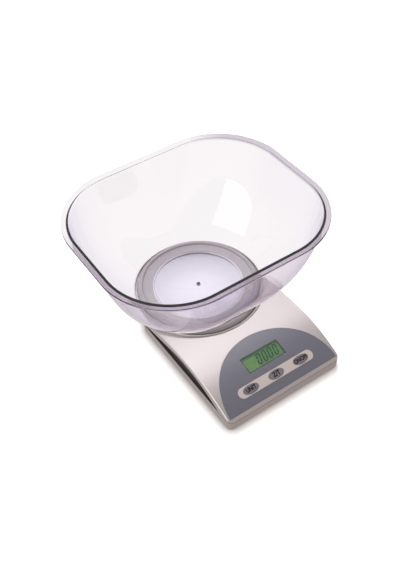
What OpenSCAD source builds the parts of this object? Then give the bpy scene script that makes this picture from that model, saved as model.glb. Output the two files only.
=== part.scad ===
// Digital pan scale: an arched housing that ends in a round drum, a weighing dish
// on a single-point load cell, and a clear pan that lifts off.
// X runs to the right, Y away from the display, Z up. The feet stand on z = 0.

/* [Housing] */
// Width of the base across its straight sides
base_w = 135; // [128:1:142]
// Distance from the weighing axis to the front edge
front_reach = 149; // [145:1:156]
// Distance from the weighing axis back to the end of the straight sides
side_back = 4.5; // [3.5:0.5:6]
// Radius of the upright corner where a straight side ends
side_end_r = 3; // [2:0.5:4]
// Radius of the two front corners, seen from above
corner_r = 6; // [4:0.5:9]
// Height of the seam between the tray and the top cover
seam_z = 10.4; // [9.8:0.1:10.8]
// Open groove that runs round the seam
seam_gap = 0.8; // [0.5:0.1:1]
// Wall of the top cover
cover_wall = 2.2; // [1.8:0.1:2.5]
// Wall and floor of the bottom tray
tray_wall = 2; // [1.6:0.1:2.4]
// Radius along the lower edge of the tray
tray_edge_r = 1.4; // [0.8:0.1:2.4]
// Height that the feet hold the tray above the floor
foot_lift = 1.5; // [1:0.1:2.2]

/* [Arch] */
// Height of the highest line of the arched cover
arch_z = 28.9; // [28.4:0.1:29.6]
// Distance from the weighing axis forward to that highest line
arch_reach = 81.7; // [78:0.5:84]
// Height of the arched cover at its front edge
front_edge_z = 12.5; // [12.2:0.1:13.2]
// Radius of the flatter arch behind the highest line
back_r = 290; // [260:5:320]
// Bevel where the arch turns down into the sides
arch_bevel = 0.8; // [0.4:0.1:1.4]

/* [Drum] */
// How far the drum's rim stands out past the straight sides
drum_swell = 0.8; // [0.3:0.1:1.4]
// Radius of the drum's foot, below the flare
heel_r = 63.5; // [62:0.5:65]
// Height of the rim round the weighing dish
drum_z = 29.8; // [29.4:0.1:30.6]
// Width of the rim's lip
rim_lip = 1.2; // [1:0.1:1.7]
// Underside of the deck that closes the drum below the dish
deck_z = 21.4; // [21:0.1:21.6]
// Thickness of that deck
deck_t = 1.8; // [1.4:0.1:2]

/* [Side recess] */
// From the front edge back to the front tip of the dark side recess
recess_front = 18.5; // [16:0.5:24]
// From the weighing axis back to the rear end of the recess
recess_back = 1.5; // [0:0.5:1.5]
// From the weighing axis forward to the highest point of the recess
recess_peak = 74; // [70:0.5:78]
// Height of that point above the cover's lower edge
recess_rise = 13; // [10:0.5:13.5]
// Height of the recess at its rear end
recess_tail = 1.2; // [0.8:0.1:2]
// Thickness of the dark insert behind the recess
insert_t = 1.3; // [1:0.1:1.6]

/* [Display panel] */
// Radius of the half-round panel, struck from the middle of the front edge
panel_r = 64.9; // [63:0.1:65.2]
// Silver lip left in front of the panel
panel_lip = 3.1; // [2.6:0.1:6]
// Thickness of the panel
panel_t = 0.8; // [0.6:0.1:1]
// From the front edge back to the middle of the display
display_back = 38; // [37:0.1:40]
// Width of the display window
window_w = 44.4; // [40:0.2:46]
// Depth of the display window, front to back
window_d = 17.4; // [14:0.1:18]
// Thickness of the clear window
window_t = 1.5; // [1.2:0.1:1.7]

/* [Keys] */
// From the middle of the display forward to the row of keys
key_row = 21.7; // [20.5:0.1:22.4]
// Spacing of the three keys
key_pitch = 30.3; // [29:0.1:31.5]
// Width of a key
key_w = 17.4; // [14:0.1:18]
// Depth of a key, front to back
key_d = 8.2; // [7.6:0.1:9]
// How far a key stands above the arch
key_proud = 1; // [0.8:0.1:1.4]
// How far a key goes down when it is pressed
key_travel = 0.6; // [0.4:0.05:0.8]
// Length of the pale strip round the keys
strip_w = 89.6; // [86:0.1:92]
// Depth of the pale strip
strip_d = 10.8; // [10.4:0.1:12]
// How far the strip stands above the arch
strip_proud = 0.4; // [0.3:0.1:0.6]

/* [Weighing dish] */
// Radius of the dish's raised edge
dish_r = 60; // [58.5:0.1:61]
// Height of the raised edge above the floor
dish_z = 34.4; // [34:0.1:35.4]
// Gap between the dish's skirt and the wall of the drum
skirt_gap = 0.9; // [0.7:0.1:1.2]
// How far the skirt hangs below the raised edge
skirt_drop = 7.2; // [6.6:0.1:7.6]
// Wall of the dish
dish_wall = 2; // [1.6:0.1:2.2]
// Depth of the dish from its raised edge to the outer ring of its floor
dish_deep = 2.2; // [1.8:0.1:2.6]
// Radius of the pale plate in the middle of the dish
plate_r = 48.6; // [46:0.1:50]
// Thickness of that plate
plate_t = 1; // [0.8:0.1:1.4]

/* [Pan] */
// Width of the pan over its rim
pan_w = 242.4; // [225:1:255]
// Depth of the pan over its rim, front to back
pan_d = 207; // [195:1:220]
// Corner radius of the rim
pan_corner_r = 75; // [65:1:85]
// Height of the pan from its foot ring to its rim
pan_h = 101.7; // [92:0.1:112]
// Wall of the pan
pan_wall = 2.2; // [1.8:0.1:2.6]
// Width of the flat rim that turns outwards
pan_rim_w = 5; // [4:0.1:6.5]
// Thickness of the rim
pan_rim_t = 2.4; // [2:0.1:3]

/* [Load cell] */
// Length of the aluminium beam
beam_l = 75; // [70:1:80]
// Width and height of the beam
beam_w = 12; // [11:0.1:12.4]
// Radius of the two holes that thin the beam
beam_hole_r = 4; // [3.5:0.1:4.4]
// Distance between the two screws at each end of the beam
beam_screw_pitch = 8; // [7:0.1:9]
// Radius of the beam's screws
beam_screw_r = 2; // [1.5:0.1:2.1]
// Thickness of the plate under the fixed end
base_plate_t = 2.5; // [2.2:0.1:2.8]
// Length of that plate
base_plate_l = 20; // [19:0.5:23]
// Thickness of the carrier under the dish
carrier_t = 2.4; // [2:0.1:2.6]
// Travel of the dish from empty to the overload stop
dish_travel = 0.5; // [0.3:0.05:0.6]

/* [Batteries] */
// Length of one cell
cell_l = 44.5; // [44:0.1:45]
// Diameter of one cell
cell_dia = 10.5; // [10:0.1:10.6]
// Room for the contacts at each end of the cells
contact_room = 3; // [2.6:0.1:3.6]
// Thickness of the battery door
door_t = 1.6; // [1.4:0.1:1.8]

/* [Small parts] */
// Radius of a rubber foot
foot_r = 6; // [5:0.1:6.5]
// Radius of a housing screw
screw_r = 1.5; // [1.2:0.1:1.7]
// Length of a housing screw below its head
screw_l = 11.5; // [10:0.5:12.5]
// Radius of a screw boss
boss_r = 3.6; // [3.2:0.1:4]
// Thickness of the circuit board
board_t = 1.6; // [1.2:0.1:1.6]
// Width of the circuit board
board_w = 98; // [94:1:100]
// Width of the square body of a tact switch
switch_w = 6; // [5:0.1:6.4]
// Radius of the potted chip under the board
chip_r = 7; // [5:0.5:8]
// Clearance between pieces that fit together
fit_gap = 0.25; // [0.15:0.05:0.3]

/* [Hidden] */
$fn = 96;

half_w = base_w / 2;
drum_r = half_w + drum_swell;
drum_bore = drum_r - cover_wall;
front_run = front_reach - arch_reach;
front_drop = arch_z - front_edge_z;
arch_r = (front_run * front_run + front_drop * front_drop) / (2 * front_drop);
arch_axis_z = arch_z - arch_r;
cover_edge_z = seam_z + seam_gap;
heel_bore = heel_r - cover_wall;
flare_z = cover_edge_z + 2;
flare_top_z = deck_z - 1.4;
floor_z = foot_lift + tray_wall;
far = 400;

// The pan reaches further back than the housing, so the middle of the whole
// outline lies in front of the weighing axis.
axis_y = (front_reach - pan_d / 2) / 2;

// Panel frame: its origin is on the arch over the middle of the display
display_y = display_back - front_reach;
panel_tilt = asin((-arch_reach - display_y) / arch_r);
display_z = arch_height(display_y);

// Levels below the panel's surface, along its own normal
panel_proud = 0.1;
ledge_w = 1;
glass_top = -window_t - 0.2;
glass_t = 2.1;
glass_w = window_w - 2 * ledge_w - 0.4;
glass_d = window_d - 2 * ledge_w - 0.4;
guide_t = 4.5;
board_top = glass_top - glass_t - 0.2 - guide_t;
switch_top = board_top + 2;
stem_end = switch_top + key_travel + 0.1;
board_front = -key_row - 10;
board_back = window_d / 2 + 5.5;
frame_wall = 2;
board_boss_x = board_w / 2 - 5;
board_boss_y = [board_front + 4, board_back - 4];
board_screw_r = 1.1;

// Dish and load cell levels
dish_floor_z = dish_z - dish_deep;
skirt_z = dish_z - skirt_drop;
skirt_r = drum_bore - skirt_gap;
shoulder_r = skirt_r - dish_r;
plate_top_z = dish_floor_z - 1;
dish_under_z = plate_top_z - plate_t - dish_wall;
post_slot_l = 30;
beam_z = floor_z + base_plate_t;
beam_top_z = beam_z + beam_w;
carrier_z = dish_under_z - carrier_t - 1.6;
rib_z = carrier_z + carrier_t;
beam_screw_y = beam_l / 2 - 7;
arm_r = 40;
arm_half_w = 8;
arm_screw_r = 1.5;
arm_head_r = 2.6;
arm_head_t = 1;
edge_r = 0.7;
pan_foot_z = plate_top_z + fit_gap;
pan_bottom_z = dish_floor_z + fit_gap;
pan_heel_r = dish_r - edge_r - 0.6;
pan_heel_z = dish_z - 0.4;
stop_r = 1.5;
stop_y = beam_l / 2 - 4;
stop_top_z = beam_z - dish_travel - 0.1;

// Battery bay
bay_y = -arch_reach + 8;
bay_half_l = cell_l / 2 + contact_room;
bay_half_d = cell_dia + 0.9;
bay_wall = 1.8;
bay_top_z = foot_lift + door_t + 0.4 + cell_dia + 0.5;
cell_z = foot_lift + door_t + 0.4 + cell_dia / 2;
cell_offset = cell_dia / 2 + 0.25;
hinge_r = 1.2;
hinge_pin_r = 0.7;
hinge_z = foot_lift + hinge_r;
hinge_y = bay_y + bay_half_d - hinge_r - fit_gap;

// Screws and feet, from the weighing axis
screw_x = half_w - 10.5;
screw_front_y = 31 - front_reach;
screw_middle_y = -45;
screw_rear = [47, 22];
housing_screw_at = [
    [screw_x, screw_front_y], [-screw_x, screw_front_y],
    [screw_x, screw_middle_y], [-screw_x, screw_middle_y],
    screw_rear, [-screw_rear[0], screw_rear[1]]
];
foot_inset = 12.5;
foot_rear = [30, 42];
foot_at = [
    [half_w - foot_inset, foot_inset - front_reach], [foot_inset - half_w, foot_inset - front_reach],
    foot_rear, [-foot_rear[0], foot_rear[1]]
];
seat_gap = 0.02;
screw_head_r = screw_r + 1.3;
screw_head_t = 2;
screw_sink = 0.4;
foot_seat = 1.2;

// Routes of the inner leads, from the weighing axis
cell_lead_r = 1.1;
cell_lead_route = [
    [7.3, 0, 12], [9, -5, 9], [12, -16, 6], [18, -32, 5], [28, -46, 5], [34, -60, 5],
    [35, -78, 5], [35, -88, 6], [33, -95, 9], [31, -98, 13], [30, -98.4, 17.5]
];
battery_lead_r = 0.7;
battery_lead_route = [
    [22, -66, 17.2], [21, -72, 17.4], [20, -80, 17.3], [19, -88, 17.3], [18, -96, 17.8]
];

// Height of the arched surface at a distance y from the weighing axis
function arch_height(y) = arch_axis_z + sqrt(arch_r * arch_r - (y + arch_reach) * (y + arch_reach));

// Radius of the arc through a recess of the given half length and rise
function arc_radius(half, rise) = (half * half + rise * rise) / (2 * rise);

// Points on a circular arc
function arc(centre, r, from, to, steps) = [
    for (i = [0:steps])
        let (a = from + (to - from) * i / steps)
            [centre[0] + r * cos(a), centre[1] + r * sin(a)]
];

function ellipse_points(w, d, steps = 48) = [
    for (i = [0:steps - 1]) [w / 2 * cos(360 * i / steps), d / 2 * sin(360 * i / steps)]
];

// Distance from the centre to a rounded rectangle of half sizes a and b, in one direction
function round_rect_reach(angle, a, b, r) =
    let (
        c = abs(cos(angle)),
        s = abs(sin(angle)),
        along = c * (a - r) + s * (b - r),
        off = (a - r) * (a - r) + (b - r) * (b - r) - r * r
    )
    a * s <= (b - r) * c ? a / c
    : b * c <= (a - r) * s ? b / s
    : along + sqrt(max(along * along - off, 0));

module at_axis() {
    translate([0, axis_y, 0]) children();
}

module at_panel() {
    translate([0, axis_y + display_y, display_z]) rotate([panel_tilt, 0, 0]) children();
}

module both_sides() {
    children();
    mirror([1, 0, 0]) children();
}

// Outline of the base from above: straight sides with rounded corners, and the drum's foot behind
module plan(inset = 0) {
    r = max(corner_r - inset, 0.8);
    b = max(side_end_r - inset, 0.8);
    w = half_w - inset;
    f = front_reach - inset;
    e = side_back - inset;
    circle(r = heel_r - inset);
    translate([-w, r - f]) square([2 * w, f - r + e - b]);
    translate([r - w, -f]) square([2 * (w - r), r + 1]);
    translate([b - w, e - b - 1]) square([2 * (w - b), b + 1]);
    for (side = [-1, 1]) {
        translate([side * (w - r), r - f]) circle(r = r);
        translate([side * (w - b), e - b]) circle(r = b);
    }
}

module plan_slab(inset, from, to) {
    translate([0, 0, from]) linear_extrude(to - from) plan(inset);
}

// The front arch as a barrel that lies along X
module arch_solid(r, half) {
    translate([0, -arch_reach, arch_axis_z]) rotate([0, 90, 0])
        rotate_extrude($fn = 360) translate([0, -half]) square([r, 2 * half]);
}

// Side view of the whole arch at a depth below its surface: the front arc, and the flatter one
// behind the highest line
module arch_profile(depth) {
    intersection() {
        translate([-arch_reach, arch_axis_z]) circle(r = arch_r - depth, $fn = 360);
        translate([-far - arch_reach, 0]) square([far, far]);
    }
    intersection() {
        translate([-arch_reach, arch_z - back_r]) circle(r = back_r - depth, $fn = 360);
        translate([-arch_reach, 0]) square([far, far]);
    }
}

module arch_block(depth, half) {
    side_plate(-half, half) arch_profile(depth);
}

// Cone that bevels the side edges of an arch of radius r, over the length given by from and to
module arch_edge_cut(r, from, to) {
    out = half_w + 1;
    both_sides() intersection() {
        translate([0, -arch_reach, arch_z - r]) rotate([0, 90, 0]) rotate_extrude($fn = 360)
            polygon([[r - arch_bevel - 1, out], [r + 1, out - arch_bevel - 2], [r + 1, out]]);
        translate([0, from, 0]) cube([far, to - from, far]);
    }
}

module arch_skin(inner, outer) {
    difference() {
        arch_solid(outer, half_w - 1);
        arch_solid(inner, half_w);
    }
}

// A straight prism of a flat outline, along the panel's own normal
module panel_prism(from, to) {
    translate([0, 0, from]) linear_extrude(to - from) children();
}

module pill(w, d) {
    square([w - d, d], center = true);
    for (side = [-1, 1])
        translate([side * (w - d) / 2, 0]) circle(r = d / 2);
}

// Half-round outline of the display panel, in plan
module panel_outline(inset = 0) {
    difference() {
        translate([0, -front_reach]) circle(r = panel_r - inset);
        translate([-far / 2, -front_reach - far + panel_lip + inset]) square([far, far]);
    }
}

module key_outline(grow = 0) {
    polygon(ellipse_points(key_w + 2 * grow, key_d + 2 * grow));
}

// Side view of the recess: an arc over the front part, and the straight line that leaves it
// for the rear end
module recess_profile(grow = 0) {
    front = recess_front - front_reach;
    r = arc_radius(-recess_peak - front, recess_rise);
    centre = [-recess_peak, cover_edge_z + recess_rise - r];
    tip = [recess_back, cover_edge_z + recess_tail];
    reach = tip - centre;
    turn = atan2(reach[1], reach[0]) + acos(r / norm(reach));
    out = [cos(turn), sin(turn)];
    leave = centre + (r + grow) * out;
    rear = tip + grow * out + grow * [out[1], -out[0]];
    low = seam_z - 2 * grow - 1;
    intersection() {
        translate(centre) circle(r = r + grow);
        translate([front - grow, low]) square([leave[0] - front + grow, far]);
    }
    polygon([[leave[0] - 0.01, low], [rear[0], low], rear, leave, [leave[0] - 0.01, leave[1] - 0.01]]);
}

// Stands a (y, z) outline up as a plate across X
module side_plate(from, to) {
    translate([from, 0, 0]) rotate([90, 0, 90]) linear_extrude(to - from) children();
}

// A round bar swept along a list of points by rings of short sides
module lead(points, r, sides = 8, across = [1, 0, 0]) {
    last = len(points) - 1;
    rings = [
        for (i = [0:last])
            let (
                way = points[min(i + 1, last)] - points[max(i - 1, 0)],
                t = way / norm(way),
                u0 = cross(t, across),
                u = u0 / norm(u0),
                v = cross(t, u)
            )
            for (k = [0:sides - 1])
                points[i] + r * (cos(360 * k / sides) * u + sin(360 * k / sides) * v)
    ];
    skin = [
        for (i = [0:last - 1])
            for (k = [0:sides - 1])
                let (n = (k + 1) % sides, a = i * sides, b = a + sides)
                    each [[a + k, b + k, a + n], [a + n, b + k, b + n]]
    ];
    start = [[for (k = [0:sides - 1]) k]];
    end = [[for (k = [sides - 1:-1:0]) last * sides + k]];
    polyhedron(points = rings, faces = concat(skin, start, end));
}

// Screw with a flat head at its origin and its shank along +Z
module screw(r, head_r, head_t, length) {
    cylinder(r = head_r, h = head_t);
    translate([0, 0, head_t - 0.01]) cylinder(r = r, h = length + 0.01);
}

// Pan

pan_sides = 72;
pan_steps = 12;
pan_rim_z = pan_foot_z + pan_h;
wall_z0 = pan_heel_z;
wall_z1 = pan_rim_z - pan_rim_t;
wall_top_x = pan_w / 2 - pan_rim_w;
wall_top_y = pan_d / 2 - pan_rim_w;

// The flank swells quickly above the flat bottom and is almost upright at the rim
function swell(t) = 0.3 * t + 0.7 * (1 - pow(1 - t, 3));
function swell_slope(t) = 0.3 + 2.1 * pow(1 - t, 2);
function wall_level(t) = wall_z0 + (wall_z1 - wall_z0) * t;
function between(a, b, s) = a + (b - a) * s;

// One level of the wall: height, half width, half depth and corner radius
function wall_ring(t, in_x = 0, in_y = 0) =
    let (s = swell(t))
    [
        wall_level(t),
        between(pan_heel_r, wall_top_x, s) - in_x,
        between(pan_heel_r, wall_top_y, s) - in_y,
        between(pan_heel_r, pan_corner_r - pan_rim_w, s) - (in_x + in_y) / 2
    ];

function round_ring(z, r) = [z, r, r, r];

// Sideways inset that gives the wall its true thickness where it leans out to a half size
function wall_inset(t, top) =
    let (run = (top - pan_heel_r) * swell_slope(t) / (wall_z1 - wall_z0))
    pan_wall * sqrt(1 + run * run);

inner_start = (pan_bottom_z + pan_wall - wall_z0) / (wall_z1 - wall_z0);
foot_w = 1.8;
pan_field_r = 44;
pan_field_t = 0.2;

function pan_rings() = concat(
    [
        round_ring(pan_bottom_z, plate_r - fit_gap - foot_w),
        round_ring(pan_foot_z, plate_r - 2 * fit_gap - foot_w + 0.4),
        round_ring(pan_foot_z, plate_r - 2 * fit_gap),
        round_ring(pan_bottom_z, plate_r - fit_gap),
        round_ring(pan_bottom_z, pan_heel_r - 2.6)
    ],
    [for (i = [0:pan_steps]) wall_ring(pow(i / pan_steps, 1.3))],
    [
        [wall_z1, pan_w / 2 - 0.5, pan_d / 2 - 0.5, pan_corner_r - 0.5],
        [wall_z1 + 0.5, pan_w / 2, pan_d / 2, pan_corner_r],
        [pan_rim_z - 0.5, pan_w / 2, pan_d / 2, pan_corner_r],
        [pan_rim_z, pan_w / 2 - 0.5, pan_d / 2 - 0.5, pan_corner_r - 0.5]
    ],
    [
        let (s = wall_ring(1, pan_wall - 0.4, pan_wall - 0.4))
            [pan_rim_z, s[1], s[2], s[3]]
    ],
    [
        for (i = [pan_steps:-1:0])
            let (t = inner_start + (1 - inner_start) * pow(i / pan_steps, 1.3))
                wall_ring(t, wall_inset(t, wall_top_x), wall_inset(t, wall_top_y))
    ]
);

module pan() {
    rings = pan_rings();
    count = len(rings);
    points = concat(
        [
            for (ring = rings)
                for (k = [0:pan_sides - 1])
                    let (a = 360 * k / pan_sides, reach = round_rect_reach(a, ring[1], ring[2], ring[3]))
                        [reach * cos(a), reach * sin(a), ring[0]]
        ],
        [[0, 0, rings[0][0]], [0, 0, rings[count - 1][0]]]
    );
    under = count * pan_sides;
    skin = [
        for (i = [0:count - 2])
            for (k = [0:pan_sides - 1])
                let (n = (k + 1) % pan_sides, a = i * pan_sides, b = a + pan_sides)
                    each [[a + k, b + k, a + n], [a + n, b + k, b + n]]
    ];
    bottom = [for (k = [0:pan_sides - 1]) [under, k, (k + 1) % pan_sides]];
    top = [
        for (k = [0:pan_sides - 1])
            let (a = (count - 1) * pan_sides)
                [under + 1, a + (k + 1) % pan_sides, a + k]
    ];
    color([0.93, 0.91, 0.97, 0.35]) at_axis() difference() {
        polyhedron(points = points, faces = concat(bottom, skin, top));
        translate([0, 0, pan_bottom_z + pan_wall - pan_field_t]) cylinder(r = pan_field_r, h = 5);
    }
}

// Weighing dish and what carries it

// Half section of the dish without the hollow below it
module dish_outline() {
    polygon(concat(
        [[0, rib_z], [skirt_r - dish_wall, rib_z], [skirt_r - dish_wall, skirt_z], [skirt_r, skirt_z]],
        arc([dish_r, dish_z - shoulder_r], shoulder_r, 0, 90, 16),
        arc([dish_r, dish_z - edge_r], edge_r, 100, 170, 4),
        [[dish_r - edge_r - 1, dish_floor_z], [plate_r + 0.1, dish_floor_z]],
        [[plate_r + 0.1, plate_top_z - plate_t], [0, plate_top_z - plate_t]]
    ));
}

// Half section of the hollow below the dish
module dish_hollow() {
    inner = skirt_r - dish_wall;
    step = plate_r + 0.1 + dish_wall;
    polygon(concat(
        [[-1, rib_z - 5], [inner, rib_z - 5]],
        arc([dish_r, dish_z - shoulder_r], inner - dish_r, 0, 90, 12),
        [[dish_r - edge_r - 0.6, dish_floor_z - dish_wall], [step, dish_floor_z - dish_wall]],
        [[step, dish_under_z], [-1, dish_under_z]]
    ));
}

module dish_ribs() {
    rib_t = 1.2;
    hub_r = 13;
    intersection() {
        rotate_extrude() dish_outline();
        translate([0, 0, rib_z]) {
            for (a = [15:30:345])
                rotate([0, 0, a]) translate([hub_r - rib_t, -rib_t / 2, 0])
                    cube([skirt_r - dish_wall - hub_r + rib_t + 0.5, rib_t, 10]);
            difference() {
                cylinder(r = hub_r, h = 10);
                translate([0, 0, -1]) cylinder(r = hub_r - rib_t, h = 12);
            }
            for (a = [45:90:315])
                rotate([0, 0, a]) translate([arm_r, 0, 0]) cylinder(r = boss_r, h = 10);
        }
    }
}

module dish() {
    color([0.6, 0.59, 0.61]) at_axis() difference() {
        union() {
            rotate_extrude() difference() {
                dish_outline();
                dish_hollow();
            }
            dish_ribs();
        }
        for (a = [45:90:315])
            rotate([0, 0, a]) translate([arm_r, 0, rib_z - 1])
                cylinder(r = arm_screw_r - 0.2, h = dish_under_z - rib_z + 2);
    }
}

module dish_plate() {
    color([0.87, 0.86, 0.92]) at_axis()
        translate([0, 0, plate_top_z - plate_t]) cylinder(r = plate_r, h = plate_t);
}

module carrier_outline() {
    for (a = [45, 135])
        rotate([0, 0, a]) {
            square([2 * arm_r, 2 * arm_half_w], center = true);
            for (side = [-1, 1])
                translate([side * arm_r, 0]) circle(r = arm_half_w);
        }
    circle(r = 20);
    translate([-beam_w, -beam_l / 2 - 1]) square([2 * beam_w, beam_l / 2 + 1]);
}

module carrier() {
    color([0.3, 0.3, 0.32]) at_axis() difference() {
        translate([0, 0, carrier_z]) linear_extrude(carrier_t) carrier_outline();
        for (a = [45:90:315])
            rotate([0, 0, a]) translate([arm_r, 0, carrier_z - 1]) {
                cylinder(r = arm_screw_r, h = carrier_t + 2);
                cylinder(r = arm_head_r + 0.2, h = 1 + arm_head_t);
            }
        for (y = beam_screw_ys(-1))
            translate([0, y, carrier_z - 1]) {
                cylinder(r = beam_screw_r + 0.2, h = carrier_t + 2);
                translate([0, 0, 1 + carrier_t - 1.4]) cylinder(r = beam_screw_r + 1.9, h = 3);
            }
    }
}

// The two screws at the front (-1) or the back (1) end of the beam
function beam_screw_ys(end) = [
    for (side = [-0.5, 0.5]) end * beam_screw_y + side * beam_screw_pitch
];

module beam_post() {
    color([0.75, 0.76, 0.78]) at_axis() difference() {
        translate([-beam_w / 2, -beam_l / 2, beam_top_z])
            cube([beam_w, beam_screw_pitch + 10, carrier_z - beam_top_z]);
        for (y = beam_screw_ys(-1))
            translate([0, y, beam_top_z - 1]) cylinder(r = beam_screw_r + 0.2, h = far);
    }
}

module load_cell() {
    gauge_gap = 12;
    color([0.8, 0.81, 0.83]) at_axis() difference() {
        translate([-beam_w / 2, -beam_l / 2, beam_z]) cube([beam_w, beam_l, beam_w]);
        translate([0, 0, beam_z + beam_w / 2]) rotate([0, 90, 0]) {
            for (side = [-1, 1])
                translate([0, side * gauge_gap / 2, 0]) cylinder(r = beam_hole_r, h = far, center = true);
            cube([2, gauge_gap, far], center = true);
        }
        for (end = [-1, 1])
            for (y = beam_screw_ys(end))
                translate([0, y, beam_z - 1]) cylinder(r = beam_screw_r + 0.05, h = far);
    }
}

module gauge_cover() {
    pad_l = 26;
    color([0.92, 0.92, 0.9]) at_axis() {
        translate([-beam_w / 2 + 1, -pad_l / 2, beam_top_z]) cube([beam_w - 2, pad_l, 0.8]);
        translate([-beam_w / 2 + 1, -pad_l / 2, beam_z - 0.8]) cube([beam_w - 2, pad_l, 0.8]);
    }
}

module base_plate() {
    color([0.62, 0.63, 0.65]) at_axis() difference() {
        translate([-beam_w, beam_l / 2 + 1 - base_plate_l, floor_z])
            cube([2 * beam_w, base_plate_l, base_plate_t]);
        for (y = beam_screw_ys(1))
            translate([0, y, 0]) cylinder(r = beam_screw_r + 0.2, h = far);
    }
}

module overload_stop() {
    color([0.7, 0.71, 0.73]) at_axis()
        translate([0, -stop_y, foot_lift + 0.6]) cylinder(r = stop_r, h = stop_top_z - foot_lift - 0.6);
}

module lower_screws() {
    color([0.7, 0.71, 0.73]) at_axis()
        for (y = beam_screw_ys(1))
            translate([0, y, foot_lift])
                screw(beam_screw_r, beam_screw_r + 1.6, 1.4, beam_z - foot_lift + 6);
}

module upper_screws() {
    top = carrier_z + carrier_t;
    color([0.7, 0.71, 0.73]) at_axis()
        for (y = beam_screw_ys(-1))
            translate([0, y, top]) rotate([180, 0, 0])
                screw(beam_screw_r, beam_screw_r + 1.6, 1.4, top - beam_top_z + 6);
}

module dish_screws() {
    color([0.7, 0.71, 0.73]) at_axis()
        for (a = [45:90:315])
            rotate([0, 0, a]) translate([arm_r, 0, carrier_z])
                screw(arm_screw_r - 0.2, arm_head_r, arm_head_t, dish_under_z - carrier_z - arm_head_t + 0.6);
}

// Housing

module cover_body() {
    difference() {
        intersection() {
            plan_slab(0, cover_edge_z, far);
            arch_block(0, half_w);
        }
        arch_edge_cut(arch_r, -far, -arch_reach);
        arch_edge_cut(back_r, -arch_reach, far);
    }
}

module cover_hollow() {
    intersection() {
        plan_slab(cover_wall, 0, far);
        arch_block(cover_wall, half_w - cover_wall);
    }
}

// Room inside the drum
module drum_room() {
    rotate_extrude() polygon([
        [0, 0], [heel_bore, 0], [heel_bore, flare_z], [drum_bore, flare_top_z], [drum_bore, far], [0, far]
    ]);
}

// Wall of the drum: it flares out above its foot, and the rim's lip is thinner than the wall
module drum_wall() {
    lip = rim_lip / 2;
    step_z = drum_z - 3;
    difference() {
        rotate_extrude() {
            polygon([
                [heel_bore, cover_edge_z], [heel_r, cover_edge_z], [heel_r, flare_z], [drum_r, flare_top_z],
                [drum_r, step_z + 0.01], [drum_bore, step_z + 0.01], [drum_bore, flare_top_z],
                [heel_bore, flare_z]
            ]);
            translate([drum_r - rim_lip, step_z]) square([rim_lip, drum_z - step_z - lip]);
            translate([drum_r - lip, drum_z - lip]) circle(r = lip);
        }
        intersection() {
            cover_hollow();
            translate([-far / 2, -far / 2, 0]) cube([far, far, deck_z]);
        }
    }
}

module cover_bosses() {
    into_deck = deck_z + 0.5;
    intersection() {
        for (at = housing_screw_at)
            translate([at[0], at[1], seam_z + seat_gap])
                cylinder(r = boss_r, h = (norm(at) < drum_bore ? into_deck : arch_z) - seam_z - seat_gap);
        union() {
            arch_block(cover_wall / 2, half_w - cover_wall / 2);
            cylinder(r = drum_bore + 0.5, h = into_deck);
        }
    }
}

module board_bosses() {
    translate([0, -axis_y, 0]) at_panel()
        for (x = [-board_boss_x, board_boss_x])
            for (y = board_boss_y)
                translate([x, y, board_top]) cylinder(r = 2.6, h = -board_top);
}

module top_cover() {
    color([0.86, 0.84, 0.85]) difference() {
        at_axis() difference() {
            union() {
                difference() {
                    cover_body();
                    cover_hollow();
                    drum_room();
                }
                drum_wall();
                translate([0, 0, deck_z]) cylinder(r = drum_bore + 0.5, h = deck_t);
                cover_bosses();
                intersection() {
                    board_bosses();
                    arch_solid(arch_r - cover_wall / 2, half_w - cover_wall / 2);
                }
            }
            both_sides() side_plate(half_w - cover_wall - 0.1, half_w + 3) recess_profile();
            intersection() {
                difference() {
                    arch_solid(arch_r + 2, half_w);
                    arch_solid(arch_r - panel_t + panel_proud, half_w + 1);
                }
                linear_extrude(far) panel_outline();
            }
            translate([-beam_w - 2, -beam_l / 2 - 3, deck_z - 1])
                cube([2 * beam_w + 4, post_slot_l, deck_t + 2]);
            for (at = housing_screw_at)
                translate([at[0], at[1], 0])
                    cylinder(r = screw_r - 0.25, h = foot_lift + screw_sink + screw_head_t + screw_l + 3);
        }
        at_panel() {
            panel_prism(-10, 4)
                square([window_w - 2 * ledge_w, window_d - 2 * ledge_w], center = true);
            panel_prism(-window_t - 0.1, 4) square([window_w + 0.2, window_d + 0.2], center = true);
            for (x = [-key_pitch, 0, key_pitch])
                translate([x, -key_row, 0]) panel_prism(-9, 4) key_outline(fit_gap);
            for (x = [-board_boss_x, board_boss_x])
                for (y = board_boss_y)
                    translate([x, y, board_top - 1]) cylinder(r = board_screw_r - 0.2, h = 3.6);
        }
    }
}

// Lower edge rounded along the straight sides by two crossed profiles, and round the drum's
// foot by a turned one
module tray_body() {
    e = tray_edge_r;
    h = seam_z - foot_lift;
    intersection() {
        plan_slab(0, foot_lift, seam_z);
        translate([0, 0, foot_lift]) union() {
            rotate_extrude() rounded_foot(heel_r, h, e);
            intersection() {
                translate([0, side_back, 0]) rotate([90, 0, 0]) linear_extrude(front_reach + side_back) {
                    rounded_foot(half_w, h, e);
                    mirror([1, 0]) rounded_foot(half_w, h, e);
                }
                translate([-half_w, 0, 0]) rotate([90, 0, 90]) linear_extrude(base_w) {
                    mirror([1, 0]) rounded_foot(front_reach, h, e);
                    rounded_foot(side_back, h, e);
                }
            }
        }
    }
}

// Half of a flat-bottomed section, rounded at its outer lower corner
module rounded_foot(w, h, e) {
    translate([0, e]) square([w, h - e]);
    square([w - e, e + 0.01]);
    translate([w - e, e]) circle(r = e);
}

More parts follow.
